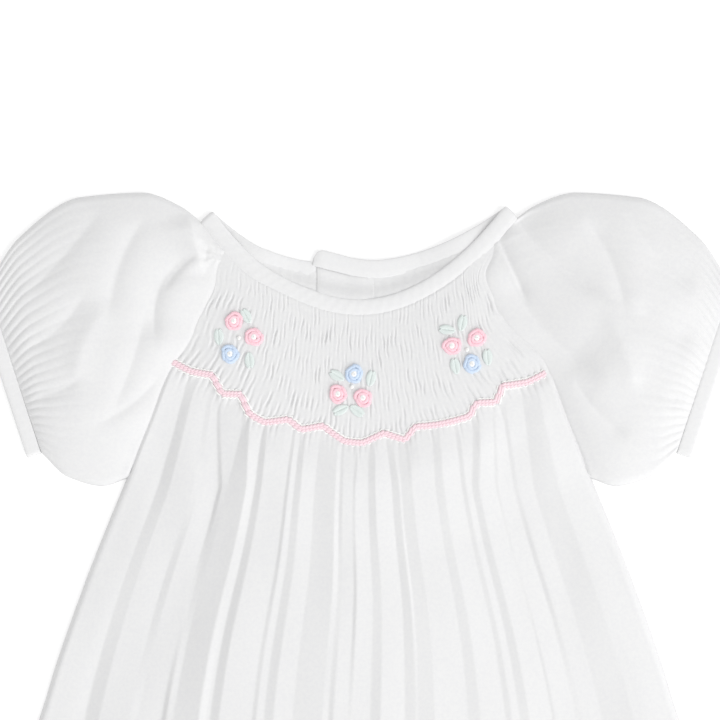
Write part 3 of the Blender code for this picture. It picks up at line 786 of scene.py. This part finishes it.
def pleat_height(pleat, row, below, random):
    """Height of the smocked pleats: soft ridges parted by narrow slits that open and close in turn."""
    count = PLEATS + 3
    phases = random.uniform(0.0, 1.0, count) + 0.5 * (np.arange(count) % 2)
    periods = random.uniform(*SLIT_PERIODS, count)
    bends = random.uniform(0.0, 1.0, count)
    reaches = random.uniform(*SLIT_REACHES, count)
    near_wave = smoothstep(*SLITS_MEET, below)
    height = -PLEAT_ROUND * np.cos(2 * np.pi * pleat) * (1 - smoothstep(-1.0, 4.0, below))
    for step in (-1, 0, 1):
        number = np.clip(np.round(pleat).astype(int) + step + 1, 0, count - 1)
        bend = PLEAT_SWAY * swing(row / PLEAT_SWAY_ROWS + bends[number])
        bend = bend + FINE_SWAY * swing(row / FINE_SWAY_ROWS + 3 * bends[number])
        offset = pleat - (number - 1 + bend * (1 - near_wave))
        opening = 0.5 + 0.5 * swing(row / periods[number] + phases[number])
        strength = 0.68 + 0.32 * swing(row / 7.9 + 2 * bends[number])
        opened = blend(smoothstep(0.35, 0.85, opening) * strength, 1.0, near_wave)
        faded = np.exp(-(np.maximum(below, 0.0) / reaches[number]) ** 1.4)
        slit = np.exp(-np.abs(offset / SLIT_SPREAD) ** 1.3)
        lips = LIP_RISE * hump(np.abs(offset) - LIP_OFFSET, LIP_SPREAD)
        height = height - opened * faded * (slit - lips)
    return height


def skirt_folds(across, y, below):
    """Height of the skirt's folds: flat facets between their valleys and ridges."""
    run = np.clip(below / (y + below - FOLD_LOW_Y), 0.0, 1.0)
    fullness = smoothstep(0.0, 5.0, below) * blend(0.5, 1.0, smoothstep(0.0, 18.0, below))
    lines = []
    for number, line in enumerate(FOLD_LINES):
        wander = FOLD_WANDER * np.sin(y / 33.0 + 3.0 * line.low) * smoothstep(30.0, 80.0, below)
        uneven = 1 + FOLD_UNEVENNESS * np.sin(y / 19.0 + 1.7 * number) * smoothstep(15.0, 50.0, below)
        place = blend(line.top, line.low, run) + wander * (1 - line.low ** 2)
        lines.append((place, line.height * uneven))
    height = np.zeros_like(y)
    for (start, start_height), (end, end_height) in zip(lines, lines[1:]):
        share = (across - start) / (end - start)
        facet = blend(start_height, end_height, share)
        height = np.where((share >= 0) & (share <= 1), facet, height)
    return height * fullness


def soft_waves(x, y, size, seed):
    """Gentle uneven ground from a few crossing waves, between about -1 and 1."""
    random = np.random.default_rng(seed)
    total = np.zeros_like(x + y)
    for _ in range(GROUND_WAVES):
        angle = random.uniform(0, np.pi)
        length = size * random.uniform(0.6, 1.8)
        phase = random.uniform(0, 2 * np.pi)
        total += np.sin(2 * np.pi * (x * math.cos(angle) + y * math.sin(angle)) / length + phase)
    return total * 2 / GROUND_WAVES


def front_places():
    """Places of the front's mesh rows: even in the smocking, and further and further apart below it."""
    yoke = np.linspace(0.0, WAVE, SMOCKING_ROWS * SMOCKING_ROW_STEPS + 1)
    steps = shares(SKIRT_STEPS + 1)[1:]
    spread = 0.45 * steps + 0.55 * steps ** 2
    middles = blend(front_row(WAVE).mid_y, FRONT_ROWS[-1].mid_y, spread)
    dense = np.linspace(WAVE, LEG_PLACE, 400)
    skirt = np.interp(-middles, -front_row(dense).mid_y, dense)
    return np.concatenate([yoke, skirt])


def smocking_relief(spots):
    """Height that the pleats add to the plain front."""
    row = SMOCKING_ROWS * spots.place / WAVE
    neck = smoothstep(0.0, 1.0, row)
    wander = PLEAT_WANDER * np.sin(0.62 * row + 0.11 * PLEATS * spots.across / 2)
    wander = wander * (1 - spots.across ** 8)
    pleat = PLEATS * (spots.across + 1) / 2
    pleat = pleat + wander * neck * (1 - smoothstep(-4.0, 0.0, spots.below))
    corner = hump(spots.from_side, CORNER_REACH) * (1 - smoothstep(1.5, 4.0, row))
    unevenness = np.clip(0.95 + 0.3 * soft_waves(spots.x, spots.y, 13.0, 3), 0.5, 1.25)
    unevenness = unevenness * (1 + 0.35 * hump(spots.from_side, SIDE_PLEATS_REACH))
    depth = PLEAT_DEPTH * (0.5 + 0.5 * neck) * unevenness * (1 - 0.85 * corner)
    dip = NECK_DIP * np.exp(-np.maximum(row, 0.0) * SMOCKING_ROW_HEIGHT / 2.2)
    return depth * pleat_height(pleat, row, spots.below, np.random.default_rng(7)) - dip


def skirt_relief(spots):
    """Height that the folds, the uneven ground and the gathers at the legs add below the wave."""
    rise = FOLD_RAISE * smoothstep(0.0, 22.0, spots.below) * smoothstep(0.0, 14.0, spots.from_side)
    folds = skirt_folds(spots.across, spots.y, np.maximum(spots.below, 0.0))
    ground = 0.35 * soft_waves(spots.x, spots.y * 0.35, 30.0, 11) * smoothstep(4.0, 40.0, spots.below)
    leg_distance = (LEG_PLACE - spots.place) * LEG_SPAN
    from_seams = smoothstep(0.0, 1.6, spots.from_side) * (1 - np.exp(-leg_distance / 7.0))
    leg_seam = np.exp(-leg_distance / 2.0)
    gathers = np.exp(-leg_distance / 14.0) * sharp_waves(LEG_GATHERS * spots.across)
    return (rise + folds + ground) * from_seams + gathers * (0.9 - 0.7 * leg_seam) - 0.3 * leg_seam


def front_points():
    """The whole front: the smocking, the folds below the wave and the gathers at the legs."""
    place = front_places()[:, None]
    across = np.linspace(-1.0, 1.0, PLEATS * PLEAT_COLUMNS + 1)[None, :]
    place, across = np.broadcast_arrays(place, across)
    x, y, z = front_plain(place, across)
    below = wave_y(across) - y
    from_side = (1 - np.abs(across)) * front_edge(place).x
    y = y + SEAM_TUCK * (1 - smoothstep(0.0, 0.02, place))
    spots = Spots(place, across, x, y, below, from_side)
    z = z + smocking_relief(spots) + skirt_relief(spots)
    side_fold = smoothstep(*SIDE_FOLD_FROM, place)
    z = blend(z, FOLD_MIDDLE + (z - FOLD_MIDDLE) * rolled(from_side, FOLD_ROLL), side_fold)
    z = z - SIDE_SEAM_DIP * np.exp(-from_side / SIDE_SEAM_REACH) * (1 - side_fold)
    return joined(drifted(x, y), y, z)


def find_on_front(x, y):
    """Place and share across of points in plan on the yoke."""
    low = np.zeros_like(x)
    high = np.full_like(x, WAVE + 0.15)
    for _ in range(24):
        middle = (low + high) / 2
        across = x / front_edge(middle).x
        too_high = front_plain(middle, across)[1] > y
        low = np.where(too_high, middle, low)
        high = np.where(too_high, high, middle)
    return low, x / front_edge(low).x


def ridge_top(x, y):
    """Height of the pleats' tops at places in plan on the yoke."""
    place, across = find_on_front(np.asarray(x, float), np.asarray(y, float))
    return front_plain(place, across)[2] + RIDGE_RISE


def side_border(place):
    """How far the body's side borders go out: under the sleeves, and back beneath the folds below."""
    return blend(1.0, -0.5, smoothstep(*SIDE_FOLD_FROM, place))


def make_front(surface):
    points = turned_edge(front_points(), ((0.25, 0.4), (0.9, 1.1)), side_border(front_places()))
    piece = make_shell("front", points, surface)
    return piece


def near_lift(x):
    """How far the back of the neck rises where its front lies close."""
    return BAND_NEAR_LIFT * hump(np.abs(x) - BAND_NEAR_X, BAND_NEAR_SPREAD)


def arc_y(x, arc):
    """Height in plan of the middle of the neckband's front or back."""
    return arc.mid_y + arc.bow * x * x


def back_lift(x, y):
    """How far the backs rise to the neckband: under its overlapping end, and towards its front."""
    under_band = arc_y(x, BACK_ARC) - BAND_WIDTH / 2 - y
    below_band = np.maximum(under_band, 0.0)
    rise = LAP_BACK_SHARE * (BAND_LAP_Z - BAND_BACK_Z) * smoothstep(LAP_RISE_FROM_X, LAP_RISE_TO_X, x)
    to_lap = smoothstep(*LAP_BACK_X, x) * rise
    to_band = 0.25 * np.exp(-below_band / 1.5)
    from_front = (arc_y(x, FRONT_ARC) + BAND_WIDTH / 2 - y) / np.hypot(1.0, 2 * FRONT_ARC.bow * x)
    share = np.clip(1 - (x / BAND_TIP_X) ** 2, 0.0, 1.0) ** 0.4
    to_front = BACK_FRONT_LIFT * share * hump(from_front, BACK_FRONT_REACH)
    to_near = (to_lap + near_lift(x)) * np.exp(-below_band / BAND_LIFT_REACH)
    return to_near + to_band + to_front * smoothstep(0.0, 5.0, under_band)


def make_back(name, side, surface):
    """A back lying flat, faintly gathered where it shows inside the neck."""
    down, share = grid_shares(BACK_ROW_COUNT, BACK_COLUMN_COUNT)
    place = LEG_PLACE * down
    edge = back_edge(place)
    across = blend(1.0, BACK_MEETING_X / edge.x, share)
    x, y = body_plan(edge, back_row(place), across)
    lap = lap_raise(side * x).rise * smoothstep(*LAP_BACK_X, side * x)
    y = y + (SEAM_TUCK + lap) * (1 - smoothstep(0.0, 0.03, place))
    from_side = (1 - across) * edge.x
    gather = 0.05 * np.sin(2 * np.pi * x / 4.3 + 1.5 * np.sin(x / 7)) * hump(place, 0.25)
    z = WALL - 0.1 + gather + 0.06 * soft_waves(x, y, 22.0, 5) + back_lift(side * x, y)
    z = z + 0.12 * np.exp(-from_side / 2.0)
    grid = joined(drifted(side * x, y), y, z)
    grid = turned_edge(grid, ((0.05, 0.6), (0.4, 1.6)), side_border(place[:, 0]))
    piece = make_shell(name, grid, surface, flip=side < 0)
    return piece


def make_placket(surface):
    """The strip over the slit of the backs: a free edge at its left, faired into the back at its right."""
    down, across = grid_shares(PLACKET_ROW_COUNT, PLACKET_COLUMN_COUNT)
    x = blend(PLACKET_LEFT_X, PLACKET_FAIR_X, across)
    band_y = arc_y(x, BACK_ARC) - BAND_WIDTH / 2 + lap_raise(x).rise
    y = blend(band_y + PLACKET_TUCK, PLACKET_END_Y, down)
    free_edge = 0.3 * smoothstep(0.0, 2.0, x - PLACKET_LEFT_X)
    faired = smoothstep(PLACKET_FAIR_X, 0.0, x)
    under = WALL - 0.05 + back_lift(x, y)
    z = blend(under, under + 0.1 + free_edge, faired) - 0.2 * np.exp(y - band_y)
    z = z + 0.05 * soft_waves(x, y, 12.0, 9) * faired
    points = turned_edge(joined(x, y, z), ((0.08, 0.02), (0.35, -0.1)))
    piece = make_shell("back_placket", points, surface)
    return piece


# Sleeves

def band_plan(x, arc, offset=0.0):
    """Plan of the neckband's arc at an offset below its middle, and its direction away from the neck."""
    slope = 2 * arc.bow * x
    length = np.hypot(slope, 1.0)
    away = joined(slope / length, -1 / length)
    return joined(x, arc_y(x, arc)) + away * offset, away


def raglan_place(share):
    """Place down the raglan seam of a share down the sleeve's edge."""
    return np.clip((share - SLEEVE_NECK_SHARE) / (1 - SLEEVE_NECK_SHARE), 0.0, 1.0)


def armhole(edge_curve, arc, share):
    """Plan of a sleeve's edge, along the neckband and then down the raglan seam."""
    neck = np.clip(share / SLEEVE_NECK_SHARE, 0.0, 1.0)
    neck_x = blend(SLEEVE_NECK_FROM_X, SLEEVE_NECK_TO_X, neck)
    along_neck = band_plan(neck_x, arc, BAND_WIDTH / 2 - SLEEVE_NECK_TUCK)[0]
    here, ahead = edge_curve(raglan_place(share)), edge_curve(raglan_place(share) + 0.01)
    away = unit(joined(here.y - ahead.y, ahead.x - here.x))
    along_raglan = joined(here.x, here.y) + away * SLEEVE_CLEARANCE
    return np.where((share < SLEEVE_NECK_SHARE)[..., None], along_neck, along_raglan)


def straight_across(place, share):
    """Plan of points straight across a sleeve, between its two folds."""
    top, bottom = shoulder_fold(place), underarm_fold(place)
    return joined(blend(top.x, bottom.x, share), blend(top.y, bottom.y, share))


def sleeve_plan(place, share, hole):
    """Plan of a sleeve's points, from its armhole to the cuff."""
    bow = hole - straight_across(0.0, share)
    return straight_across(place, share) + bow * (1 - place[..., None]) ** 1.5


def crease_line(crease):
    """Points along the curve through a crease's three points."""
    t = shares(CREASE_STEPS)[:, None]
    first, middle, last = np.array(crease[:6]).reshape(3, 2)
    control = 2 * middle - (first + last) / 2
    return (1 - t) ** 2 * first + 2 * t * (1 - t) * control + t ** 2 * last


def crease_depth(x, y, creases):
    """Depth of the listed creases, each with two unlike sides."""
    depth = np.zeros_like(x)
    for crease in creases:
        line = crease_line(crease)
        nearest = np.full_like(x, np.inf)
        place = np.zeros_like(x)
        on_left = np.zeros_like(x, bool)
        for index, (start, run) in enumerate(zip(line, np.diff(line, axis=0))):
            from_x, from_y = x - start[0], y - start[1]
            part = np.clip((from_x * run[0] + from_y * run[1]) / (run @ run), 0.0, 1.0)
            gap = np.hypot(from_x - part * run[0], from_y - part * run[1])
            closer = gap < nearest
            nearest = np.where(closer, gap, nearest)
            place = np.where(closer, (index + part) / (len(line) - 1), place)
            on_left = np.where(closer, run[0] * from_y - run[1] * from_x > 0, on_left)
        spread = np.where(on_left, crease.left, crease.right)
        sharpness = CREASE_SHARPNESS if crease.depth > 0 else RIDGE_SHARPNESS
        ends = smoothstep(0.0, 0.3, place) * smoothstep(1.0, 0.75, place)
        depth += crease.depth * ends * np.exp(-(nearest / spread) ** sharpness)
    return depth


def sleeve_base(place, share):
    """Height of the plain puffed sleeve, which starts at the height of the edge beside it."""
    neck_lift = blend(SLEEVE_NECK_LIFT, FRONT_ROWS[0].lift, share / SLEEVE_NECK_SHARE)
    front_lift = front_row(raglan_place(share)).lift
    lift = np.where(share < SLEEVE_NECK_SHARE, neck_lift, front_lift)
    return FRONT_RIM + SLEEVE_RISE + lift * (1 - place) ** 2 + sleeve_puff(place).puff * crown(share)


def seam_corner(x, y, side):
    """Small puckers round the corner where the sleeve, the neckband and the front meet."""
    from_x, from_y = np.abs(x) - CORNER_X, y - CORNER_Y
    fade = np.exp(-np.hypot(from_x, from_y) / CORNER_PUCKER_REACH)
    return (0.17 - 0.1 * side) * fade * np.sin(np.arctan2(from_y, from_x) * CORNER_PUCKERS)


def sleeve_upper(side, creases):
    """The face of a sleeve that shows, and the width of its rings in plan."""
    place, share = grid_shares(SLEEVE_RING_COUNT, SLEEVE_UPPER_COUNT)
    plan = sleeve_plan(place, share, armhole(front_edge, FRONT_ARC, share))
    x, y = drifted(side * plan[..., 0], plan[..., 1]), plan[..., 1]
    width = np.linalg.norm(plan[:, :1] - plan[:, -1:], axis=-1)
    from_fold = np.minimum(share, 1 - share) * width
    from_seam = place * SLEEVE_SPAN
    from_cuff = (1 - place) * CUFF_SPAN
    rim = np.exp(-from_seam / 5.0)
    z = sleeve_base(place, share)
    z = z - crease_depth(x, y, creases) * smoothstep(0.0, 6.0, from_fold) * (1 - 0.5 * rim)
    gathers = sharp_waves(CUFF_GATHERS * share + 0.35 * np.sin(9 * share))
    z = z + (1.2 * gathers - 0.3) * np.exp(-from_cuff / 13.0)
    z = z + seam_corner(x, y, side) + 0.35 * soft_waves(x, y, 26.0, 21 + side) * (1 - rim)
    z = z - SLEEVE_SEAM_DIP * np.exp(-from_seam / 1.2)
    z = blend(z, FRONT_RIM - 0.1 + 0.5 * crown(share), 0.9 * np.exp(-from_cuff / 2.5))
    z = FOLD_MIDDLE + (z - FOLD_MIDDLE) * rolled(from_fold, FOLD_ROLL)
    return joined(x, y, z), width


def sleeve_lower(side, width):
    """The face of a sleeve that lies on the floor, from the underarm fold back to the shoulder's."""
    place, share = (grid[:, -2:0:-1] for grid in grid_shares(SLEEVE_RING_COUNT, SLEEVE_LOWER_COUNT))
    plan = sleeve_plan(place, share, armhole(back_edge, BACK_ARC, share))
    from_fold = np.minimum(share, 1 - share) * width
    z = FOLD_MIDDLE - (FOLD_MIDDLE - SLEEVE_FLOOR) * rolled(from_fold, SLEEVE_LOWER_ROLL)
    return joined(drifted(side * plan[..., 0], plan[..., 1]), plan[..., 1], z)


def make_sleeve(name, side, creases, surface):
    """A flattened tube, with a hem that goes under the raglan seam and an end that runs into the cuff."""
    upper, width = sleeve_upper(side, creases)
    grid = np.concatenate([upper, sleeve_lower(side, width)], axis=1)
    hem = edge_step(grid[:1], grid[1:2], SLEEVE_HEM_DOWN, SLEEVE_HEM_OUT)
    into_cuff = grid[-1:] + (grid[-1:] - grid[-2:-1]) * 0.5
    into_cuff[..., 2] = blend(grid[-1:, :, 2], FOLD_MIDDLE, 0.3)
    grid = np.concatenate([hem, grid, into_cuff], axis=0)
    piece = make_shell(name, grid, surface, closed=True, flip=side < 0)
    return piece


# Neckband and bindings

def band_stations():
    """Centre, outward direction and up direction along the neckband, from end to end."""
    under = np.linspace(LAP_UNDER_X, -BAND_TIP_X, BAND_UNDER_STATIONS)
    stations = [back_station(x, False) for x in under]
    stations += tip_stations(-1)[::-1]
    for x in np.linspace(-BAND_TIP_X, BAND_TIP_X, BAND_FRONT_STATIONS):
        plan, away = band_plan(x, FRONT_ARC)
        height = BAND_FRONT_Z + BAND_FRONT_ARCH * (1 - (x / BAND_TIP_X) ** 2)
        stations.append(((*plan, height), (*away, 0.0), (0.0, 0.0, 1.0)))
    stations += tip_stations(1)
    over = np.linspace(BAND_TIP_X, LAP_OVER_X, BAND_OVER_STATIONS)
    stations += [back_station(x, True) for x in over]
    return [np.array(column, float) for column in zip(*stations)]


def back_station(x, over):
    """A station on the band's back, on the end that laps over or on the one beneath."""
    plan, away = band_plan(x, BACK_ARC)
    height = BAND_BACK_Z + near_lift(x)
    if not over:
        plan = plan - (0.0, under_drop(x).drop)
    elif x < LAP_RISE_FROM_X:
        height = blend(BAND_BACK_Z, BAND_LAP_Z, smoothstep(LAP_RISE_FROM_X, LAP_RISE_TO_X, x))
        plan = plan + (0.0, lap_raise(x).rise)
    return (*plan, height), (*away, 0.0), (0.0, 0.0, -1.0)


def tip_stations(side):
    """Stations round the fold where the band turns from the front to the back."""
    front, front_away = band_plan(side * BAND_TIP_X, FRONT_ARC)
    back, back_away = band_plan(side * BAND_TIP_X, BACK_ARC)
    radius = (BAND_FRONT_Z - BAND_BACK_Z) / 2
    stations = []
    for share in shares(BAND_TIP_STATIONS + 2)[1:-1]:
        angle = math.pi * share
        away = unit(blend(front_away, back_away, share))
        outward = np.array((-away[1], away[0])) * side
        plan = blend(front, back, share) + outward * radius * math.sin(angle)
        height = BAND_BACK_Z + radius * (1 + math.cos(angle))
        up = (*(outward * math.sin(angle)), math.cos(angle))
        stations.append(((*plan, height), (*away, 0.0), up))
    return stations


def signed_power(values, power):
    return np.sign(values) * np.abs(values) ** power


def band_ripple(length, across):
    """The small slanting ripples of cloth cut on the bias."""
    broad = 0.05 * swing((length + 2.6 * across) / 5.3)
    return broad + 0.03 * np.sin(2 * np.pi * (length - 1.2 * across) / 3.1 + 1.0)


def lap_ends(centre, from_end, high):
    """Draws the band's upper end down to a thin edge, and flattens the end that lies under it."""
    tip = np.clip(from_end / LAP_CORNER, 0.0, 1.0)[:, None]
    high = high * np.sqrt(1 - 0.8 * (1 - tip) ** 2) + 0.45 * (1 - tip) ** 2
    beneath = smoothstep(LAP_OVER_X - 1.0, LAP_OVER_X + 3.0, centre[:, 0])
    beneath = (beneath * (np.arange(len(centre)) < BAND_UNDER_STATIONS))[:, None]
    return high * (1 - 0.5 * beneath) + 0.3 * beneath


def make_neckband(surface):
    """The bias strip: full and rounded at its fold, flatter at its seam, with soft bias ripples."""
    centre, away, up = band_stations()
    length = lengths_along(centre)
    from_end = length[-1] - length
    angle = np.linspace(BAND_SLIT, 2 * np.pi, BAND_PROFILE_STEPS)
    facing_up = (1 + up[:, 2:]) / 2
    across = signed_power(np.cos(angle), blend(0.62, 0.85, facing_up))
    rise = signed_power(np.sin(angle), blend(0.7, 0.9, facing_up))
    stitched = 1 - 0.16 * hump(across - 0.72, 0.12)
    near_end = np.minimum(from_end, LAP_CORNER)
    corner = LAP_CORNER - np.sqrt(LAP_CORNER ** 2 - (LAP_CORNER - near_end) ** 2)
    out = np.maximum(across * BAND_WIDTH / 2, corner[:, None] - BAND_WIDTH / 2)
    above = np.where(up[:, 2:] > 0, BAND_CROWN, BAND_THICK / 2)
    high = rise * np.where(rise > 0, above, BAND_THICK / 2) * stitched
    high = lap_ends(centre, from_end, high)
    grid = centre[:, None] + away[:, None] * out[..., None] + up[:, None] * high[..., None]
    grid[..., 2] += band_ripple(length[:, None], across) * smoothstep(0.1, 0.6, rise * up[:, 2:])
    middles = grid.mean(axis=1, keepdims=True).repeat(grid.shape[1], axis=1)
    grid = np.concatenate([middles[:1], grid, middles[-1:]], axis=0)
    piece = make_shell("neckband", grid, surface)
    return piece


def binding_grid(path, side):
    """A flattened binding round an opening, folded over at its far edge."""
    along_path = shares(BINDING_STEPS)
    lengths = lengths_along(path)
    total = lengths[-1]
    rings = []
    for offset, depth in BINDING_PROFILE:
        at = blend(depth, total - depth, along_path)
        x = np.interp(at, lengths, path[:, 0])
        y = np.interp(at, lengths, path[:, 1])
        along = unit(joined(np.gradient(x), np.gradient(y)))
        x = side * (x - along[:, 1] * offset)
        y = y + along[:, 0] * offset
        roll = rolled(np.minimum(at, total - at), BINDING_ROLL)
        ripple = 0.06 * swing((at + 1.5 * offset) / 4.3)
        top = FRONT_RIM + BINDING_CROWN * crown(along_path) + ripple - depth
        bottom = 0.05 + max(depth, 0.0) * 0.9
        upper = joined(x, y, blend(FOLD_MIDDLE, top, roll))
        lower = joined(x, y, blend(FOLD_MIDDLE, bottom, roll))
        rings.append(np.concatenate([upper, lower[::-1][1:-1]], axis=0))
    return np.stack(rings)


def leg_path():
    """Plan of a leg's edge, from the side of the body to the crotch."""
    across = np.linspace(1.0, CROTCH_SHARE, 120)
    last = np.full_like(across, LEG_PLACE)
    x, y = body_plan(front_edge(last), front_row(last), across)
    return joined(x, y)


def make_binding(name, path, side, surface):
    piece = make_shell(name, binding_grid(path, side), surface, closed=True, flip=side < 0)
    return piece


def make_crotch_band(name, bottom, surface):
    """A plain folded strip between the legs, its underside at a given height."""
    half = CROTCH_SHARE * FRONT_EDGE[-1].x - CROTCH_GAP
    down, across = grid_shares(20, 90)
    x, depth = half * (2 * across - 1), CROTCH_DEPTH * down
    y = FRONT_ROWS[-1].mid_y - CROTCH_GAP - depth
    border = np.minimum(np.minimum(depth, CROTCH_DEPTH - depth), half - np.abs(x))
    roll = rolled(border, CROTCH_ROLL)
    middle = bottom + WALL / 2
    waves = 0.05 * soft_waves(x, y, 9.0, 15)
    upper = joined(x, y, middle + (WALL / 2 + waves) * roll)
    lower = joined(x, y, middle - (WALL / 2 - 0.04) * roll)
    grid = np.concatenate([upper, lower[:, ::-1]], axis=1)
    piece = make_shell(name, grid, surface, closed=True)
    return piece


# Embroidery

def rose_ring(rose, radius, start, sweep):
    """Part of a ring round a rose's middle, not quite round and turned as the rose is."""
    angle = np.linspace(start, start + sweep, len(radius)) + math.radians(rose.turn)
    uneven = 1 + 0.07 * np.cos(2 * angle + rose.x) + 0.05 * np.cos(3 * angle + rose.y)
    return rose.x + radius * uneven * np.cos(angle), rose.y + radius * uneven * np.sin(angle)


def add_petals(threads, rose, base):
    """Bullion knots round a rose's middle: long ones outside and short ones inside."""
    share = shares(24)
    for ring in PETAL_RINGS:
        for number in range(ring.count):
            radius = blend(ring.inner, ring.outer, share)
            x, y = rose_ring(rose, radius, ring.turn + ring.apart * number, ring.sweep)
            z = base + ring.height + ring.arch * np.sin(np.pi * share)
            threads.add_tube(joined(x, y, z), PETAL_RADIUS, 12, ring.wraps, PETAL_RIDGE)


def add_knot(threads, x, y, z, size):
    """A French knot: just over two turns of thread wound on a point."""
    share = shares(40)
    angle = 4.2 * np.pi * share
    radius = size * (1 - 0.9 * share)
    line = joined(x + radius * np.cos(angle), y + radius * np.sin(angle), z + 0.55 * size * share)
    threads.add_tube(line, 0.46 * size + 0.08)


def make_roses(surfaces):
    pieces = []
    for rose in ROSES:
        petals, centre = Threads(), Threads()
        base = ridge_top(rose.x, rose.y) - 0.5
        add_petals(petals, rose, base)
        add_knot(centre, rose.x, rose.y, base + 1.25, 1.1)
        petals = petals.finish(rose.name + "_petals", surfaces[rose.colour], "floss_" + rose.colour)
        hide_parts(rose.name)
        pieces += [petals, centre.finish(rose.name + "_centre", surfaces["white"], "binding")]
    return pieces


def make_leaves(surface):
    """Fishbone leaves: slanting stitches laid from both sides of a middle line."""
    pieces = []
    for leaf in LEAVES:
        threads = Threads()
        turn = math.radians(leaf.turn)
        along = np.array((math.cos(turn), math.sin(turn)))
        across = np.array((-along[1], along[0]))
        for number in range(LEAF_STITCHES):
            share = (number + 0.5) / LEAF_STITCHES
            half = (LEAF_WIDTH / 2 + 0.5) * math.sin(math.pi * blend(0.1, 0.95, share)) ** 0.6
            for side in (-1, 1):
                start = np.array((leaf.x, leaf.y)) + along * (LEAF_LENGTH * (share * 0.86 - 0.54))
                end = start + along * LEAF_LENGTH * 0.2 + across * side * half
                ends = [(*place, ridge_top(*place) - 0.1) for place in (start, end)]
                threads.add_tube(stitch(*ends, 0.12), LEAF_STITCH_RADIUS, sides=7)
        piece = threads.finish(leaf.name + "_stitches", surface, "floss_mint")
        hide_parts(leaf.name)
        pieces.append(piece)
    return pieces


def make_sewing(surface):
    """Running stitches along the free edge of the placket."""
    threads = Threads()
    for number in range(SEWN_STITCHES):
        y = SEWN_FROM_Y - SEWN_STEP * number
        ends = (SEWN_X, y, SEWN_Z), (SEWN_X, y - SEWN_LENGTH, SEWN_Z)
        threads.add_tube(stitch(*ends, 0.12, 5), 0.12, sides=5)
    return threads.finish("sewing", surface, "binding")


def make_knots(surface):
    threads = Threads()
    for knot in KNOTS:
        add_knot(threads, knot.x, knot.y, ridge_top(knot.x, knot.y) + 0.3, 0.7)
    return threads.finish("spray_knots", surface, "binding")


def wave_line_y(x):
    """Height in plan of the pink wave at given places across."""
    across = x / front_edge(WAVE).x
    for _ in range(6):
        y = wave_y(across)
        _, across = find_on_front(x, y)
    return y


def add_wave_row(threads, row, offset, points):
    """A row of stem stitches along a line of points, each slanting and running past its two points."""
    for start, end in zip(points, points[1:]):
        run = unit((end - start) * (1, 1, 0))
        away = np.array((-run[1], run[0], 0.0))
        first = start + away * (offset - row.slant) - run * row.overlap
        last = end + away * (offset + row.slant) + run * row.overlap
        threads.add_tube(stitch(first, last, row.arch), row.radius, sides=row.sides)


def make_wave(surfaces):
    """Two rows of pink stem stitches, edged above and below by white ones."""
    pieces = []
    x = np.linspace(-WAVE_STITCHED_X, WAVE_STITCHED_X, WAVE_STITCHES + 1)
    y = wave_line_y(x)
    for row in WAVE_ROWS:
        threads = Threads()
        points = joined(x, y, ridge_top(x, y) - row.sunk)
        for offset in row.offsets:
            add_wave_row(threads, row, offset, points)
        pieces.append(threads.finish(row.name, surfaces[row.colour], row.slot))
    return pieces


# Surroundings

def make_floor():
    """A white floor just under the cloth, which glows a little, as a photo's white ground does."""
    surface = new_material("floor", {
        "Base Color": (0.6, 0.6, 0.6, 1.0),
        "Emission Color": (1.0, 1.0, 1.0, 1.0),
        "Emission Strength": 0.46,
        "Roughness": 1.0,
        "Specular IOR Level": 0.0,
    })
    half, low = FLOOR_HALF, -FLOOR_GAP
    points = np.array([(-half, -half, low), (half, -half, low), (half, half, low), (-half, half, low)])
    mesh_object("floor", points, np.array([[0, 1, 2, 3]]), surface)


def make_lights():
    """An even white sky and one large soft lamp, from the lower right of the picture."""
    world = bpy.data.worlds.new("studio")
    world.use_nodes = True
    background = world.node_tree.nodes["Background"]
    background.inputs["Color"].default_value = (1.0, 1.0, 1.0, 1.0)
    background.inputs["Strength"].default_value = 0.82
    bpy.context.scene.world = world
    bpy.context.scene.view_settings.view_transform = "Standard"
    data = bpy.data.lights.new("key", "AREA")
    data.shape = "DISK"
    data.size = KEY_SIZE
    data.energy = KEY_POWER
    lamp = new_object("key", data)
    lamp.location = KEY_PLACE
    aim = Vector(KEY_AIM) - Vector(KEY_PLACE)
    lamp.rotation_euler = aim.to_track_quat("-Z", "Y").to_euler()


def make_camera():
    """Straight down, at the photo's scale. The neck's top is at the photo's pixel for it."""
    data = bpy.data.cameras.new("camera")
    data.lens = LENS
    data.sensor_width = SENSOR
    camera = new_object("camera", data)
    distance = PICTURE * PIXEL * LENS / SENSOR
    frame_x = (PICTURE / 2 - NECK_PIXEL[0]) * PIXEL
    frame_y = NECK_Y + (NECK_PIXEL[1] - PICTURE / 2) * PIXEL
    camera.matrix_world = Matrix.Translation((frame_x, frame_y, CLOTH_MIDDLE_Z + distance))
    bpy.context.scene.camera = camera


def main():
    make_camera()
    make_lights()
    make_floor()
    surfaces = make_materials()
    cloth = surfaces["batiste"]
    binding = surfaces["binding"]
    shells = [make_front(cloth), make_placket(cloth)]
    bands = [make_neckband(binding)]
    cuff_path = straight_across(1.0, shares(40))
    for word, side, creases in (("left", -1, LEFT_CREASES), ("right", 1, RIGHT_CREASES)):
        shells.append(make_back("back_" + word, side, cloth))
        shells.append(make_sleeve("sleeve_" + word, side, creases, cloth))
        bands.append(make_binding("cuff_" + word, cuff_path, side, binding))
        bands.append(make_binding("leg_band_" + word, leg_path(), side, binding))
    bands.append(make_crotch_band("crotch_band_front", LAYER, binding))
    bands.append(make_crotch_band("crotch_band_back", 0.0, binding))
    stitched = make_roses(surfaces) + make_leaves(surfaces["mint"]) + make_wave(surfaces)
    stitched += [make_knots(surfaces["white"]), make_sewing(surfaces["white"])]
    for piece in shells + bands + stitched:
        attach(piece, "root")


main()
